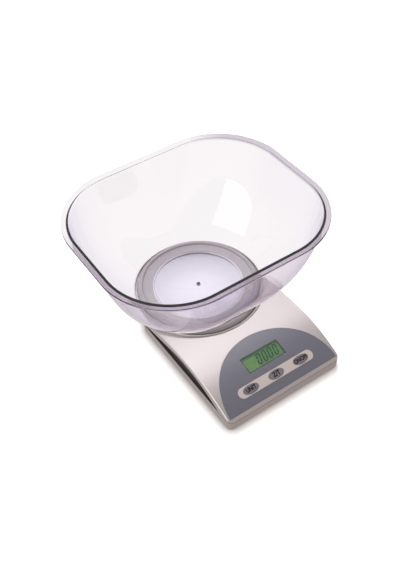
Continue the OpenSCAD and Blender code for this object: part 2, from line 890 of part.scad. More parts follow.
module tray_tongue() {
    tongue_t = 1;
    inner = cover_wall + fit_gap + tongue_t;
    difference() {
        union() {
            difference() {
                plan_slab(tray_wall - 0.5, seam_z - 3, seam_z);
                plan_slab(inner, 0, far);
            }
            intersection() {
                difference() {
                    plan_slab(cover_wall + fit_gap, seam_z - 0.01, cover_edge_z + 1.4);
                    plan_slab(inner, 0, far);
                }
                arch_block(cover_wall + fit_gap, half_w);
            }
        }
        translate([-far / 2, insert_front - 1, 0]) cube([far, insert_back - insert_front + 2, far]);
    }
}

insert_front = recess_front - front_reach - 5;
insert_back = side_back - cover_wall - fit_gap;
insert_x = half_w - cover_wall - fit_gap;

module battery_bay() {
    difference() {
        translate([-bay_half_l - bay_wall, bay_y - bay_half_d - bay_wall, foot_lift + 0.01])
            cube([2 * (bay_half_l + bay_wall), 2 * (bay_half_d + bay_wall), bay_top_z + bay_wall - foot_lift]);
        translate([-bay_half_l, bay_y - bay_half_d, 0])
            cube([2 * bay_half_l, 2 * bay_half_d, bay_top_z]);
    }
}

module tray_ribs() {
    rib_h = 3;
    rib_t = 1.2;
    spoke_r = 44;
    spoke_l = heel_r - tray_wall + 0.5 - spoke_r;
    long_x = 40;
    long_l = 52;
    long_front = 8;
    cross_l = 100;
    cross_front = 32;
    translate([0, 0, floor_z - 0.01]) {
        for (a = [30, 60, 120, 150])
            rotate([0, 0, a]) translate([spoke_r, -rib_t / 2, 0]) cube([spoke_l, rib_t, rib_h]);
        translate([0, -stop_y, 0]) cylinder(r = boss_r, h = stop_top_z - floor_z - 0.6);
        for (x = [-long_x, long_x])
            translate([x - rib_t / 2, long_front - front_reach, 0]) cube([rib_t, long_l, rib_h]);
        translate([-cross_l / 2, cross_front - front_reach, 0]) cube([cross_l, rib_t, rib_h]);
    }
}

module bottom_tray() {
    color([0.74, 0.72, 0.72]) at_axis() difference() {
        union() {
            difference() {
                tray_body();
                plan_slab(tray_wall, floor_z, far);
            }
            tray_tongue();
            battery_bay();
            tray_ribs();
            for (at = housing_screw_at)
                translate([at[0], at[1], floor_z - 0.5]) cylinder(r = boss_r, h = seam_z - floor_z + 0.5);
            for (at = foot_at)
                translate([at[0], at[1], floor_z - 0.5]) cylinder(r = foot_r + 1.2, h = foot_seat + 0.8);
            both_sides() for (x = [insert_x - insert_t - 1.15, insert_x + 0.05])
                translate([x, insert_front, floor_z - 0.01]) cube([1.1, insert_back - insert_front, 2]);
        }
        translate([-bay_half_l, bay_y - bay_half_d, 0]) cube([2 * bay_half_l, 2 * bay_half_d, bay_top_z]);
        translate([-bay_half_l - 1.4, hinge_y, hinge_z]) rotate([0, 90, 0])
            cylinder(r = hinge_pin_r + 0.08, h = 2 * bay_half_l + 2.8);
        for (at = housing_screw_at)
            translate([at[0], at[1], 0]) {
                cylinder(r = screw_head_r + 0.3, h = foot_lift + screw_head_t + screw_sink);
                cylinder(r = screw_r + 0.2, h = far);
            }
        for (at = foot_at)
            translate([at[0], at[1], 0]) cylinder(r = foot_r + 0.1, h = foot_lift + foot_seat);
        for (y = beam_screw_ys(1))
            translate([0, y, 0]) {
                cylinder(r = beam_screw_r + 1.8, h = foot_lift + 1.4);
                cylinder(r = beam_screw_r + 0.2, h = far);
            }
        translate([0, -stop_y, 0]) cylinder(r = stop_r, h = far);
    }
}

// The insert stays below the arch. Its lower lip lies in the seam groove on the tray's edge,
// out to the side of the housing.
module insert_shape() {
    lip_front = recess_front - front_reach - 1;
    translate([insert_x - insert_t, lip_front, seam_z + seat_gap])
        cube([half_w - 0.2 - insert_x + insert_t, insert_back - lip_front, seam_gap - 0.1]);
    intersection() {
        side_plate(insert_x - insert_t, insert_x)
            intersection() {
                union() {
                    recess_profile(1.6);
                    translate([insert_front, floor_z])
                        square([insert_back - insert_front, seam_z - floor_z + 1]);
                }
                translate([insert_front, floor_z]) square([insert_back - insert_front, far]);
            }
        arch_block(cover_wall + fit_gap, half_w);
    }
}

module insert_left() {
    color([0.2, 0.17, 0.16]) at_axis() mirror([1, 0, 0]) insert_shape();
}

module insert_right() {
    color([0.2, 0.17, 0.16]) at_axis() insert_shape();
}

module rubber_feet() {
    color([0.15, 0.15, 0.15]) at_axis()
        for (at = foot_at)
            translate([at[0], at[1], 0]) {
                cylinder(r1 = foot_r - 0.5, r2 = foot_r, h = foot_lift / 2);
                translate([0, 0, foot_lift / 2]) cylinder(r = foot_r, h = foot_lift / 2 + foot_seat);
            }
}

module housing_screws() {
    color([0.7, 0.71, 0.73]) at_axis()
        for (at = housing_screw_at)
            translate([at[0], at[1], foot_lift + screw_sink])
                screw(screw_r - 0.25, screw_head_r, screw_head_t, screw_l);
}

// Display panel and keys

module display_panel() {
    color([0.4, 0.4, 0.45]) difference() {
        at_axis() intersection() {
            arch_skin(arch_r - panel_t + panel_proud + 0.05, arch_r + panel_proud);
            linear_extrude(far) panel_outline(0.15);
        }
        at_panel() {
            panel_prism(-6, 6) square([window_w + 0.2, window_d + 0.2], center = true);
            translate([0, -key_row, 0]) panel_prism(-6, 6) pill(strip_w + 0.2, strip_d + 0.2);
        }
    }
}

module key_strip() {
    color([0.84, 0.8, 0.79]) difference() {
        intersection() {
            at_axis() arch_skin(arch_r - panel_t + panel_proud + 0.05, arch_r + strip_proud);
            at_panel() translate([0, -key_row, 0]) panel_prism(-9, 6) pill(strip_w, strip_d);
        }
        at_panel()
            for (x = [-key_pitch, 0, key_pitch])
                translate([x, -key_row, 0]) panel_prism(-9, 6) key_outline(fit_gap);
    }
}

// A key: oval cap through the strip and the cover, flange below, stem to its switch
module key_at(x) {
    color([0.48, 0.46, 0.5]) {
        intersection() {
            at_panel() translate([x, -key_row, 0]) panel_prism(stem_end + 0.4, 3) key_outline();
            at_axis() arch_solid(arch_r + key_proud, half_w);
        }
        intersection() {
            at_panel() translate([x, -key_row, 0]) panel_prism(stem_end + 0.4, 0) key_outline(1.3);
            at_axis() arch_solid(arch_r - cover_wall - fit_gap, half_w);
        }
        at_panel() translate([x, -key_row, stem_end]) cylinder(r = 2, h = 0.5);
    }
}

module key_unit() {
    key_at(-key_pitch);
}

module key_tare() {
    key_at(0);
}

module key_power() {
    key_at(key_pitch);
}

module display_window() {
    color([0.6, 0.75, 0.6, 0.5]) intersection() {
        at_axis() arch_solid(arch_r, half_w);
        at_panel() panel_prism(-window_t, 3) square([window_w, window_d], center = true);
    }
}

module lcd_glass() {
    color([0.36, 0.6, 0.35]) at_panel()
        panel_prism(glass_top - glass_t, glass_top) square([glass_w, glass_d], center = true);
}

module light_guide() {
    color([0.6, 0.85, 0.5]) at_panel()
        translate([0, 1.5, 0]) panel_prism(board_top, board_top + guide_t)
            square([glass_w - 3, glass_d - 5.2], center = true);
}

module contact_strips() {
    color([0.85, 0.4, 0.5]) at_panel()
        translate([0, 1.9 - glass_d / 2, 0]) panel_prism(board_top, glass_top - glass_t)
            square([glass_w - 4, 1.6], center = true);
}

module display_frame() {
    color([0.1, 0.1, 0.1]) intersection() {
        at_panel() difference() {
            panel_prism(board_top, 0)
                square([glass_w + 2 * frame_wall, glass_d + 2 * frame_wall], center = true);
            panel_prism(glass_top - glass_t, 3) square([glass_w + 0.1, glass_d + 0.1], center = true);
            panel_prism(board_top - 1, 3) square([glass_w - 1.2, glass_d - 1.2], center = true);
        }
        at_axis() arch_solid(arch_r - cover_wall - 0.1, half_w);
    }
}

module circuit_board() {
    color([0.1, 0.35, 0.2]) at_panel() difference() {
        panel_prism(board_top - board_t, board_top)
            translate([-board_w / 2, board_front]) square([board_w, board_back - board_front]);
        for (x = [-board_boss_x, board_boss_x])
            for (y = board_boss_y)
                translate([x, y, board_top - board_t - 1]) cylinder(r = board_screw_r + 0.2, h = 4);
    }
}

module board_parts() {
    under = board_top - board_t;
    chip_t = chip_r / 5;
    dome_r = 3 * chip_r;
    amplifier = [8, 5, 1.6];
    plug = [4.5, 11, 3.5];
    color([0.08, 0.08, 0.08]) at_panel() {
        translate([0, -4, under - chip_t]) intersection() {
            cylinder(r = chip_r, h = chip_t);
            translate([0, 0, dome_r - chip_t]) sphere(r = dome_r);
        }
        translate([20, 0, under - amplifier[2]]) cube(amplifier);
        translate([-30, -6, under - 3]) cylinder(r = 2.5, h = 3);
        translate([-38, 2, under - plug[2]]) cube(plug);
    }
}

module key_switches() {
    color([0.75, 0.75, 0.77]) at_panel()
        for (x = [-key_pitch, 0, key_pitch])
            translate([x, -key_row, board_top]) {
                translate([-switch_w / 2, -switch_w / 2, 0]) cube([switch_w, switch_w, 1.6]);
                cylinder(r = 1.6, h = switch_top - board_top);
            }
}

module board_screws() {
    color([0.7, 0.71, 0.73]) at_panel()
        for (x = [-board_boss_x, board_boss_x])
            for (y = board_boss_y)
                translate([x, y, board_top - board_t - 1.4])
                    screw(board_screw_r - 0.2, board_screw_r + 1.1, 1.4, board_t + 2.2);
}

// Power and leads

module batteries() {
    color([0.35, 0.37, 0.4]) at_axis()
        for (side = [-1, 1])
            translate([-side * (cell_l / 2 - 0.5), bay_y + side * cell_offset, cell_z])
                rotate([0, side * 90, 0]) {
                    cylinder(r = cell_dia / 2, h = cell_l - 1.5);
                    cylinder(r = 1.9, h = cell_l - 0.5);
                }
}

module battery_springs() {
    turns = 3;
    per_turn = 12;
    wire_r = 0.35;
    wide = 2.8;
    narrow = 1.7;
    length = contact_room - 0.5;
    color([0.75, 0.76, 0.78]) at_axis()
        for (side = [-1, 1])
            translate([-side * (bay_half_l - 0.4 - wire_r), bay_y + side * cell_offset, cell_z])
                lead(
                    [
                        for (i = [0:turns * per_turn])
                            let (s = i / (turns * per_turn), r = between(wide, narrow, s))
                                [
                                    side * s * (length - 0.5),
                                    r * cos(360 * i / per_turn),
                                    r * sin(360 * i / per_turn)
                                ]
                    ],
                    wire_r, 6
                );
}

module battery_contacts() {
    plate = cell_dia - 1.5;
    nub_w = 4;
    plate_t = 0.4;
    color([0.75, 0.76, 0.78]) at_axis()
        for (end = [-1, 1])
            for (side = [-1, 1])
                translate([
                    end > 0 ? bay_half_l - plate_t : -bay_half_l,
                    bay_y + side * cell_offset - plate / 2,
                    cell_z - plate / 2
                ]) {
                    cube([plate_t, plate, plate]);
                    if (end == side)
                        translate([
                            end > 0 ? 0.5 - contact_room : plate_t, (plate - nub_w) / 2, (plate - nub_w) / 2
                        ])
                            cube([contact_room - 0.5, nub_w, nub_w]);
                }
}

module battery_door() {
    half_l = bay_half_l - fit_gap;
    color([0.74, 0.72, 0.72]) at_axis() difference() {
        union() {
            translate([-half_l, bay_y - bay_half_d + fit_gap, foot_lift])
                cube([2 * half_l, hinge_y - bay_y + bay_half_d - fit_gap, door_t]);
            translate([-half_l, hinge_y, hinge_z]) rotate([0, 90, 0]) cylinder(r = hinge_r, h = 2 * half_l);
            translate([-half_l - 1.2, hinge_y, hinge_z]) rotate([0, 90, 0])
                cylinder(r = hinge_pin_r, h = 2 * half_l + 2.4);
        }
        translate([0, bay_y - bay_half_d + 5, foot_lift - 0.1]) cylinder(r = 3, h = 0.8);
    }
}

module cell_lead() {
    color([0.8, 0.8, 0.78]) at_axis() lead(cell_lead_route, cell_lead_r);
}

module battery_leads() {
    color([0.6, 0.12, 0.1]) at_axis() both_sides() lead(battery_lead_route, battery_lead_r);
}

pan();
dish();
dish_plate();
top_cover();
bottom_tray();
insert_left();
insert_right();
display_panel();
key_strip();
key_unit();
key_tare();
key_power();
display_window();
lcd_glass();
light_guide();
display_frame();
contact_strips();
circuit_board();
board_parts();
key_switches();
board_screws();
load_cell();
gauge_cover();
base_plate();
beam_post();
carrier();
overload_stop();
lower_screws();
upper_screws();
dish_screws();
cell_lead();
battery_leads();
batteries();
battery_springs();
battery_contacts();
battery_door();
rubber_feet();
housing_screws();
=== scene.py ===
# %% [markdown]
# A pan scale, dressed over its solids
#
# The solids of this scale come from another program and are already exact. This lesson
# gives them their looks in Blender: what each plastic, metal and clear part is made of,
# and the few pieces that solids describe poorly, such as printed words and a clear pan
# with soft edges. The frame is loaded first, because every piece is placed against it.

import math

import bpy
import numpy as np
from mathutils import Matrix, Vector


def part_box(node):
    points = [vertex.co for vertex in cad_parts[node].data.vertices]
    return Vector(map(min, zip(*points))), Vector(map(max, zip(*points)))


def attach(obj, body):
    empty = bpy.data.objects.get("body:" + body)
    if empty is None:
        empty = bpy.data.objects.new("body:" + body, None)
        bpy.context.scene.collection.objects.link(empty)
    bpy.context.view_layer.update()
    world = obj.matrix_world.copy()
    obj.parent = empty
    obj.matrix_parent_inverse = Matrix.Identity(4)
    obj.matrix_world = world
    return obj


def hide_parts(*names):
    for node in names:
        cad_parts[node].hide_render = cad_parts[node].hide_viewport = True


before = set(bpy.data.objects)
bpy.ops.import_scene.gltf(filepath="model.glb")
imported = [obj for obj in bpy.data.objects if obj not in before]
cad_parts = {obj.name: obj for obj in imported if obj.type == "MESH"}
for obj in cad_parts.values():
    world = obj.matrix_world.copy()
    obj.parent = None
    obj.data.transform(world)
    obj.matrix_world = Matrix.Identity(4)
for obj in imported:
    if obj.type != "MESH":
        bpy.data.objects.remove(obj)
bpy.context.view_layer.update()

# %% [markdown]
# Sizes that the pieces share
#
# Everything is in metres. The weighing axis and the levels are read off the solids where
# a box gives them, so that a piece follows its solid. The front of the arched cover is
# part of a cylinder that lies along X. Its radius follows from how far it runs forward
# from its highest line and how far it drops on the way.

# %% Shared sizes
MM = 0.001

plate_low, plate_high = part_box("dish_plate")
axis_y = (plate_low.y + plate_high.y) / 2
arch_top = 28.9 * MM
front_reach = 149 * MM
arch_run, arch_drop = 67.3 * MM, 16.4 * MM
arch_radius = (arch_run ** 2 + arch_drop ** 2) / (2 * arch_drop)
crest_y = axis_y - front_reach + arch_run
display_back = 38 * MM
display_angle = math.asin((axis_y - front_reach + display_back - crest_y) / arch_radius)
key_row = -21.7 * MM
key_pitch = 30.3 * MM
print("weighing axis y", round(axis_y, 5), "display leans", round(math.degrees(display_angle), 2))

# %% [markdown]
# Two ways to place flat work on the arch
#
# The words on the keys follow the curve of the arch, while the display lies flat below
# it. One helper bends a flat drawing round the arch. The other one sets a drawing on the
# straight plane that touches the arch over the display.


# %% Placing on the arch
def on_arch(along, up_slope, height):
    """A point drawn flat, wrapped on the arch; up_slope is measured from the display's middle."""
    turn = display_angle + up_slope / arch_radius
    reach = arch_radius + height
    return Vector((
        along,
        crest_y + reach * math.sin(turn),
        arch_top - arch_radius + reach * math.cos(turn),
    ))


def on_display_plane(along, up_slope, height):
    """A point on the straight plane that touches the arch over the display."""
    turn = display_angle
    start = on_arch(0, 0, 0)
    ahead = Vector((0, math.cos(turn), -math.sin(turn)))
    out = Vector((0, math.sin(turn), math.cos(turn)))
    return start + Vector((along, 0, 0)) + ahead * up_slope + out * height


print("display plane starts at", [round(v, 4) for v in on_display_plane(0, 0, 0)])

# %% [markdown]
# The camera
#
# The picture was taken from the front left and from well above, close enough to give a
# strong perspective. The place and the lens were worked out from the edges of the
# housing, the drum and the pan, so the object fills the frame as it did there.

# %% Camera
camera_place = (-0.30612, -0.44741, 0.63208)
swing, tilt, lean = (math.radians(v) for v in (-33.23, 46.99, -1.81))

scene = bpy.context.scene
camera_data = bpy.data.cameras.new("studio_camera")
camera = bpy.data.objects.new("studio_camera", camera_data)
scene.collection.objects.link(camera)
scene.camera = camera
back = Vector((math.sin(swing) * math.cos(tilt), -math.cos(swing) * math.cos(tilt), math.sin(tilt)))
level = Vector((math.cos(swing), math.sin(swing), 0))
upward = back.cross(level)
right = level * math.cos(lean) + upward * math.sin(lean)
above = upward * math.cos(lean) - level * math.sin(lean)
turned_axes = Matrix((right, above, back)).transposed().to_4x4()
camera.matrix_world = Matrix.Translation(camera_place) @ turned_axes
camera_data.sensor_width = 36
camera_data.lens = 49.43
camera_data.clip_start = 0.02
camera_data.clip_end = 20
print("camera at", [round(v, 3) for v in camera.location], "lens", camera_data.lens)

# %% [markdown]
# Helpers for nodes
#
# Light, finishes and shapes are all built from nodes. These helpers add a node and fill
# its inputs, each with a plain value or with the output of another node. The second cell
# holds the few mixes and limits that come back in nearly every tree.


# %% Node helpers
def fill(tree, socket, value):
    if isinstance(value, bpy.types.NodeSocket):
        tree.links.new(value, socket)
    else:
        socket.default_value = value


def fill_named(tree, node, inputs):
    for label, value in inputs.items():
        fill(tree, node.inputs[label.replace("_", " ")], value)
    return node


def add_node(tree, kind, **inputs):
    """Adds a node; each keyword names one of its inputs, with underscores for spaces."""
    return fill_named(tree, tree.nodes.new(kind), inputs)


def maths(tree, operation, *values):
    node = tree.nodes.new("ShaderNodeMath")
    node.operation = operation
    for socket, value in zip(node.inputs, values):
        fill(tree, socket, value)
    return node.outputs[0]


print("node helpers: fill, fill_named, add_node, maths")


# %% Mixing helpers
def clamped(tree, value, low=0.0, high=1.0):
    return maths(tree, "MINIMUM", maths(tree, "MAXIMUM", value, low), high)


def colour_mix(tree, share, first, second):
    """Mixes two colours; the colour sockets of this node come after those for plain numbers."""
    node = tree.nodes.new("ShaderNodeMix")
    node.data_type = "RGBA"
    for place, value in ((0, share), (6, first), (7, second)):
        fill(tree, node.inputs[place], value)
    return node.outputs[2]


def shader_mix(tree, share, first, second):
    """Mixes two shader nodes; a share of 1 shows only the second."""
    node = tree.nodes.new("ShaderNodeMixShader")
    for socket, value in zip(node.inputs, (share, first.outputs[0], second.outputs[0])):
        fill(tree, socket, value)
    return node


def spot_of(tree, kind="Object"):
    return tree.nodes.new("ShaderNodeTexCoord").outputs[kind]


def parts_of(tree, vector):
    return add_node(tree, "ShaderNodeSeparateXYZ", Vector=vector).outputs


print("mixing helpers: clamped, colour_mix, shader_mix, spot_of, parts_of")

# %% [markdown]
# The white room
#
# The object stands in a white light tent. A white world would light it from all sides
# and wash it out, so the world is white for the rays that look at it, also through the
# clear plastic. The light that falls on the object comes mostly from the left and the
# back, and the tent is darker and warmer towards the front, where the photographer
# stands. Shiny surfaces mirror it that way: white at the back, greyer at the front. The
# direction of a ray says which part of the tent it meets.

# %% World
scene.view_settings.view_transform = "Standard"
overhead = 0.72
darkest_side, darkest_mirror = 0.14, 0.3

world = bpy.data.worlds.new("light_tent")
scene.world = world
world.use_nodes = True
sky = world.node_tree
sky.nodes.clear()
way = parts_of(sky, spot_of(sky, "Generated"))
sideways = maths(sky, "ADD", maths(sky, "MULTIPLY", way["X"], -0.4), maths(sky, "MULTIPLY", way["Y"], 0.35))
low_light = maths(sky, "MAXIMUM", maths(sky, "ADD", sideways, 0.58), darkest_side)
upness = clamped(sky, maths(sky, "MULTIPLY", way["Z"], 1.25))
levels = sky.nodes.new("ShaderNodeMix")
for place, value in ((0, upness), (2, low_light), (3, overhead)):
    fill(sky, levels.inputs[place], value)
warm_to_cool = colour_mix(sky, low_light, (1.0, 0.86, 0.78, 1), (0.98, 0.98, 1.0, 1))
lighting = add_node(sky, "ShaderNodeBackground", Color=warm_to_cool, Strength=levels.outputs[0])
from_back = maths(sky, "ADD", maths(sky, "MULTIPLY", way["Y"], 0.8), 0.48)
near_floor = maths(sky, "SUBTRACT", 0.6, way["Z"])
mirror_level = clamped(sky, maths(sky, "MAXIMUM", from_back, near_floor), darkest_mirror)
mirrored = add_node(sky, "ShaderNodeBackground", Color=(1.0, 0.97, 0.96, 1), Strength=mirror_level)
seen = add_node(sky, "ShaderNodeBackground", Color=(1, 1, 1, 1))
rays = sky.nodes.new("ShaderNodeLightPath").outputs
direct = maths(sky, "MAXIMUM", rays["Is Camera Ray"], rays["Is Transmission Ray"])
tent = shader_mix(sky, direct, shader_mix(sky, rays["Is Glossy Ray"], lighting, mirrored), seen)
add_node(sky, "ShaderNodeOutputWorld", Surface=tent.outputs[0])
print("world overhead", overhead)

# %% [markdown]
# Starting a piece
#
# The lamp, the floor and every later piece start with the same few lines. There is a
# material, with its usual nodes or empty, a mesh from a list of points, and an object
# that stands at the origin and holds a mesh, a text or a lamp.


# %% Starting helpers
def new_material(name, bare=False):
    material = bpy.data.materials.new(name)
    material.use_nodes = True
    if bare:
        material.node_tree.nodes.clear()
    return material, material.node_tree


def new_mesh(name, points, edges=(), faces=()):
    mesh = bpy.data.meshes.new(name)
    mesh.from_pydata(points, edges, faces)
    return mesh


def new_piece(name, data):
    piece = bpy.data.objects.new(name, data)
    scene.collection.objects.link(piece)
    return piece


# %% [markdown]
# Lamps
#
# A wide soft lamp high at the back right gives the bright band along the crest of the
# arch. The window of the studio stands to the left. It lights nothing here and shows only
# in mirrors: the curved back wall of the pan gathers it to one tall bright patch. It is
# a plain sheet with four corners, each placed where that patch's corner is mirrored.

# %% Lamps
lamp_place, lamp_aim = Vector((0.4, 0.68, 1.15)), Vector((0, -0.03, 0.03))
softbox = bpy.data.lights.new("back_softbox", "AREA")
softbox.shape = "RECTANGLE"
softbox.size, softbox.size_y = 0.62, 0.6
softbox.energy = 10.5
key_lamp = new_piece("back_softbox", softbox)
key_lamp.location = lamp_place
key_lamp.rotation_euler = (lamp_aim - lamp_place).to_track_quat("-Z", "Y").to_euler()
key_lamp.visible_camera = False
key_lamp.visible_transmission = False

window_corners = [(-0.97, -0.64, 0.03), (-1.09, 0.26, 0.01), (-0.719, 0.571, 0.821), (-0.479, -0.335, 1.119)]
window_mesh = new_mesh("studio_window", window_corners, [], [(0, 1, 2, 3)])
studio_window = new_piece("studio_window", window_mesh)
studio_window.visible_camera = False
studio_window.visible_diffuse = False
studio_window.visible_transmission = False
studio_window.visible_shadow = False
daylight, pane = new_material("window_light", bare=True)
shine = add_node(pane, "ShaderNodeEmission", Strength=2.4)
add_node(pane, "ShaderNodeOutputMaterial", Surface=shine.outputs[0])
window_mesh.materials.append(daylight)
print("lamp:", key_lamp.name, "and mirrored window")

# %% [markdown]
# The floor
#
# The floor runs into the white background without an edge, yet keeps the thin shadow at
# the foot of the tray. To the eye it is partly a plain glow and partly a lit surface: the
# two add up to a little over white in the open, as on an overexposed sheet of paper, and
# only close to the object does the lit part fall far enough to show. Right at the tray a
# node that measures how covered a point is mixes in a dark brown glow: a painted contact
# shadow, the narrow dark line at the foot. The light that the floor throws back on the
# object is weaker and warmer.

# %% Floor
floor_half = 4
below_feet = 0.2 * MM
painted_shadow_reach, painted_shadow_strength = 8 * MM, 1.3

square = [(x * floor_half, y * floor_half, 0) for x, y in ((-1, -1), (1, -1), (1, 1), (-1, 1))]
floor_mesh = new_mesh("floor", square, [], [(0, 1, 2, 3)])
floor = new_piece("floor", floor_mesh)
floor.location.z = -below_feet

floor_paint, paper = new_material("floor_paper", bare=True)
lit = add_node(paper, "ShaderNodeBsdfDiffuse", Color=(0.95, 0.95, 0.95, 1))
glow = add_node(paper, "ShaderNodeEmission", Color=(1.0, 0.97, 0.96, 1), Strength=0.5)
both = paper.nodes.new("ShaderNodeAddShader")
fill(paper, both.inputs[0], lit.outputs[0])
fill(paper, both.inputs[1], glow.outputs[0])
# Painted shadow: a dark brown glow, mixed in where the floor is covered, draws the contact line.
painted_foot_shadow = add_node(paper, "ShaderNodeEmission", Color=(0.2, 0.175, 0.16, 1))
closeness = add_node(paper, "ShaderNodeAmbientOcclusion", Distance=painted_shadow_reach)
closeness.samples = 8
covered = maths(paper, "SUBTRACT", 1.0, closeness.outputs["AO"])
contact = maths(paper, "MINIMUM", maths(paper, "MULTIPLY", covered, painted_shadow_strength), 1.0)
to_camera = shader_mix(paper, contact, both, painted_foot_shadow)
to_glass = paper.nodes.new("ShaderNodeEmission")
to_mirrors = add_node(paper, "ShaderNodeEmission", Color=(0.62, 0.58, 0.57, 1))
thrown_back = add_node(paper, "ShaderNodeBsdfDiffuse", Color=(0.52, 0.48, 0.46, 1))
rays = paper.nodes.new("ShaderNodeLightPath").outputs
surface = shader_mix(paper, rays["Is Glossy Ray"], thrown_back, to_mirrors)
surface = shader_mix(paper, rays["Is Transmission Ray"], surface, to_glass)
surface = shader_mix(paper, rays["Is Camera Ray"], surface, to_camera)
add_node(paper, "ShaderNodeOutputMaterial", Surface=surface.outputs[0])
floor_mesh.materials.append(floor_paint)
print("floor size", [round(v, 1) for v in floor.dimensions])

# %% [markdown]
# Shared effects as shader groups
#
# Moulded plastic has a fine grain, a slow drift of its tint, and a gloss that varies
# where hands touch it. Each effect is one node group, built once and used by many
# finishes. A group puts out only what varies over the surface. The grain is made from
# two sizes of noise, because one size alone looks like print.


# %% Group helpers
def shader_group(name, inputs, outputs):
    """An empty group, with the sockets that its nodes read from and the ones they feed."""
    tree = bpy.data.node_groups.new(name, "ShaderNodeTree")
    for label, kind, value in inputs:
        tree.interface.new_socket(label, in_out="INPUT", socket_type=kind).default_value = value
    for label, kind in outputs:
        tree.interface.new_socket(label, in_out="OUTPUT", socket_type=kind)
    print("group:", name)
    return tree, tree.nodes.new("NodeGroupInput").outputs, tree.nodes.new("NodeGroupOutput").inputs


def noise(tree, scale, detail, stretch=None):
    """Noise on object coordinates; stretch squeezes it along one axis for brushed marks."""
    where = spot_of(tree)
    if stretch:
        where = add_node(tree, "ShaderNodeMapping", Vector=where, Scale=stretch).outputs["Vector"]
    return add_node(tree, "ShaderNodeTexNoise", Vector=where, Scale=scale, Detail=detail).outputs["Fac"]


FLOAT = "NodeSocketFloat"
COLOUR = "NodeSocketColor"

# %% Grain group
grain_tree, given, made = shader_group(
    "moulded_grain",
    [("Grains per metre", FLOAT, 2200.0), ("Coarse share", FLOAT, 0.35)],
    [("Height", FLOAT)],
)
fine = noise(grain_tree, given["Grains per metre"], 2.0)
coarse = noise(grain_tree, maths(grain_tree, "MULTIPLY", given["Grains per metre"], 0.23), 2.0)
weighted = maths(grain_tree, "MULTIPLY", coarse, given["Coarse share"])
fill(grain_tree, made["Height"], maths(grain_tree, "ADD", fine, weighted))

# %% Drift group
drift_tree, given, made = shader_group(
    "tint_drift",
    [("Colour", COLOUR, (0.5, 0.5, 0.5, 1)), ("Second colour", COLOUR, (0.4, 0.4, 0.4, 1)),
     ("Patches per metre", FLOAT, 9.0), ("Strength", FLOAT, 0.5)],
    [("Colour", COLOUR)],
)
patch = maths(drift_tree, "MULTIPLY", noise(drift_tree, given["Patches per metre"], 4.0), 0.8)
speck = maths(drift_tree, "MULTIPLY", noise(drift_tree, 900.0, 2.0), 0.2)
amount = maths(drift_tree, "MULTIPLY", maths(drift_tree, "ADD", patch, speck), given["Strength"])
fill(drift_tree, made["Colour"], colour_mix(drift_tree, amount, given["Colour"], given["Second colour"]))

# %% Gloss group
gloss_tree, given, made = shader_group(
    "handled_gloss",
    [("Roughness", FLOAT, 0.4), ("Spread", FLOAT, 0.12), ("Marks per metre", FLOAT, 45.0)],
    [("Roughness", FLOAT)],
)
centred = maths(gloss_tree, "SUBTRACT", noise(gloss_tree, given["Marks per metre"], 5.0), 0.5)
spread = maths(gloss_tree, "MULTIPLY", centred, given["Spread"])
fill(gloss_tree, made["Roughness"], maths(gloss_tree, "ADD", spread, given["Roughness"]))

# %% Flake group
flake_tree, given, made = shader_group(
    "metal_flake",
    [("Flakes per metre", FLOAT, 5200.0), ("Contrast", FLOAT, 0.1), ("Colour", COLOUR, (0.6, 0.6, 0.6, 1))],
    [("Colour", COLOUR), ("Metallic", FLOAT)],
)
cells = add_node(flake_tree, "ShaderNodeTexVoronoi", Vector=spot_of(flake_tree),
                 Scale=given["Flakes per metre"])
tone = add_node(flake_tree, "ShaderNodeSeparateColor", Color=cells.outputs["Color"])
centred = maths(flake_tree, "SUBTRACT", tone.outputs[0], 0.5)
glint = maths(flake_tree, "ADD", maths(flake_tree, "MULTIPLY", centred, given["Contrast"]), 1.0)
tinted = flake_tree.nodes.new("ShaderNodeVectorMath")
tinted.operation = "SCALE"
fill(flake_tree, tinted.inputs[0], given["Colour"])
fill(flake_tree, tinted.inputs["Scale"], glint)
fill(flake_tree, made["Colour"], tinted.outputs["Vector"])
metal = maths(flake_tree, "ADD", maths(flake_tree, "MULTIPLY", tone.outputs[1], 0.3), 0.35)
fill(flake_tree, made["Metallic"], metal)

# %% [markdown]
# A finish from groups
#
# Each finish is a Principled shader with its constant numbers on its own sockets, and
# the groups linked to colour, roughness and bump. One helper does the wiring, so that
# each material below only states its colours, its gloss and the size of its grain.


# %% Finish helper
def use_group(tree, group, **inputs):
    node = tree.nodes.new("ShaderNodeGroup")
    node.node_tree = group
    return fill_named(tree, node, inputs)


def finish(name, colour, second, gloss=0.45, spread=0.1, grain=2200.0, bump=0.02, **sockets):
    material, tree = new_material(name)
    tint = use_group(tree, drift_tree, Colour=(*colour, 1), Second_colour=(*second, 1))
    wear = use_group(tree, gloss_tree, Roughness=gloss, Spread=spread)
    skin = use_group(tree, grain_tree, Grains_per_metre=grain)
    relief = add_node(tree, "ShaderNodeBump", Strength=bump, Distance=0.05 * MM,
                      Height=skin.outputs["Height"])
    fill_named(tree, tree.nodes["Principled BSDF"], {
        "Base Color": tint.outputs["Colour"],
        "Roughness": wear.outputs["Roughness"],
        "Normal": relief.outputs["Normal"],
        **sockets,
    })
    return material


def dress(material, *names):
    for name in names:
        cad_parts[name].material_slots[0].material = material
    print(material.name, "->", ", ".join(names))

# %% [markdown]
# The silver housing
#
# The cover is moulded plastic sprayed with a satin silver paint. The paint holds fine
# metal flakes, so it is part metal: bright where it faces the softbox and a warm grey
# where it turns away. A flake group varies colour and metal from cell to cell. The tray
# has the same paint, a shade darker and a little duller.


# %% Silver paint
def silver_paint(name, colour, gloss):
    material = finish(name, colour, colour, gloss=gloss, spread=0.06, grain=1500.0, bump=0.05)
    tree = material.node_tree
    shader = tree.nodes["Principled BSDF"]
    flakes = use_group(tree, flake_tree, Colour=(*colour, 1))
    for label, output in (("Base Color", "Colour"), ("Metallic", "Metallic")):
        fill(tree, shader.inputs[label], flakes.outputs[output])
    return material


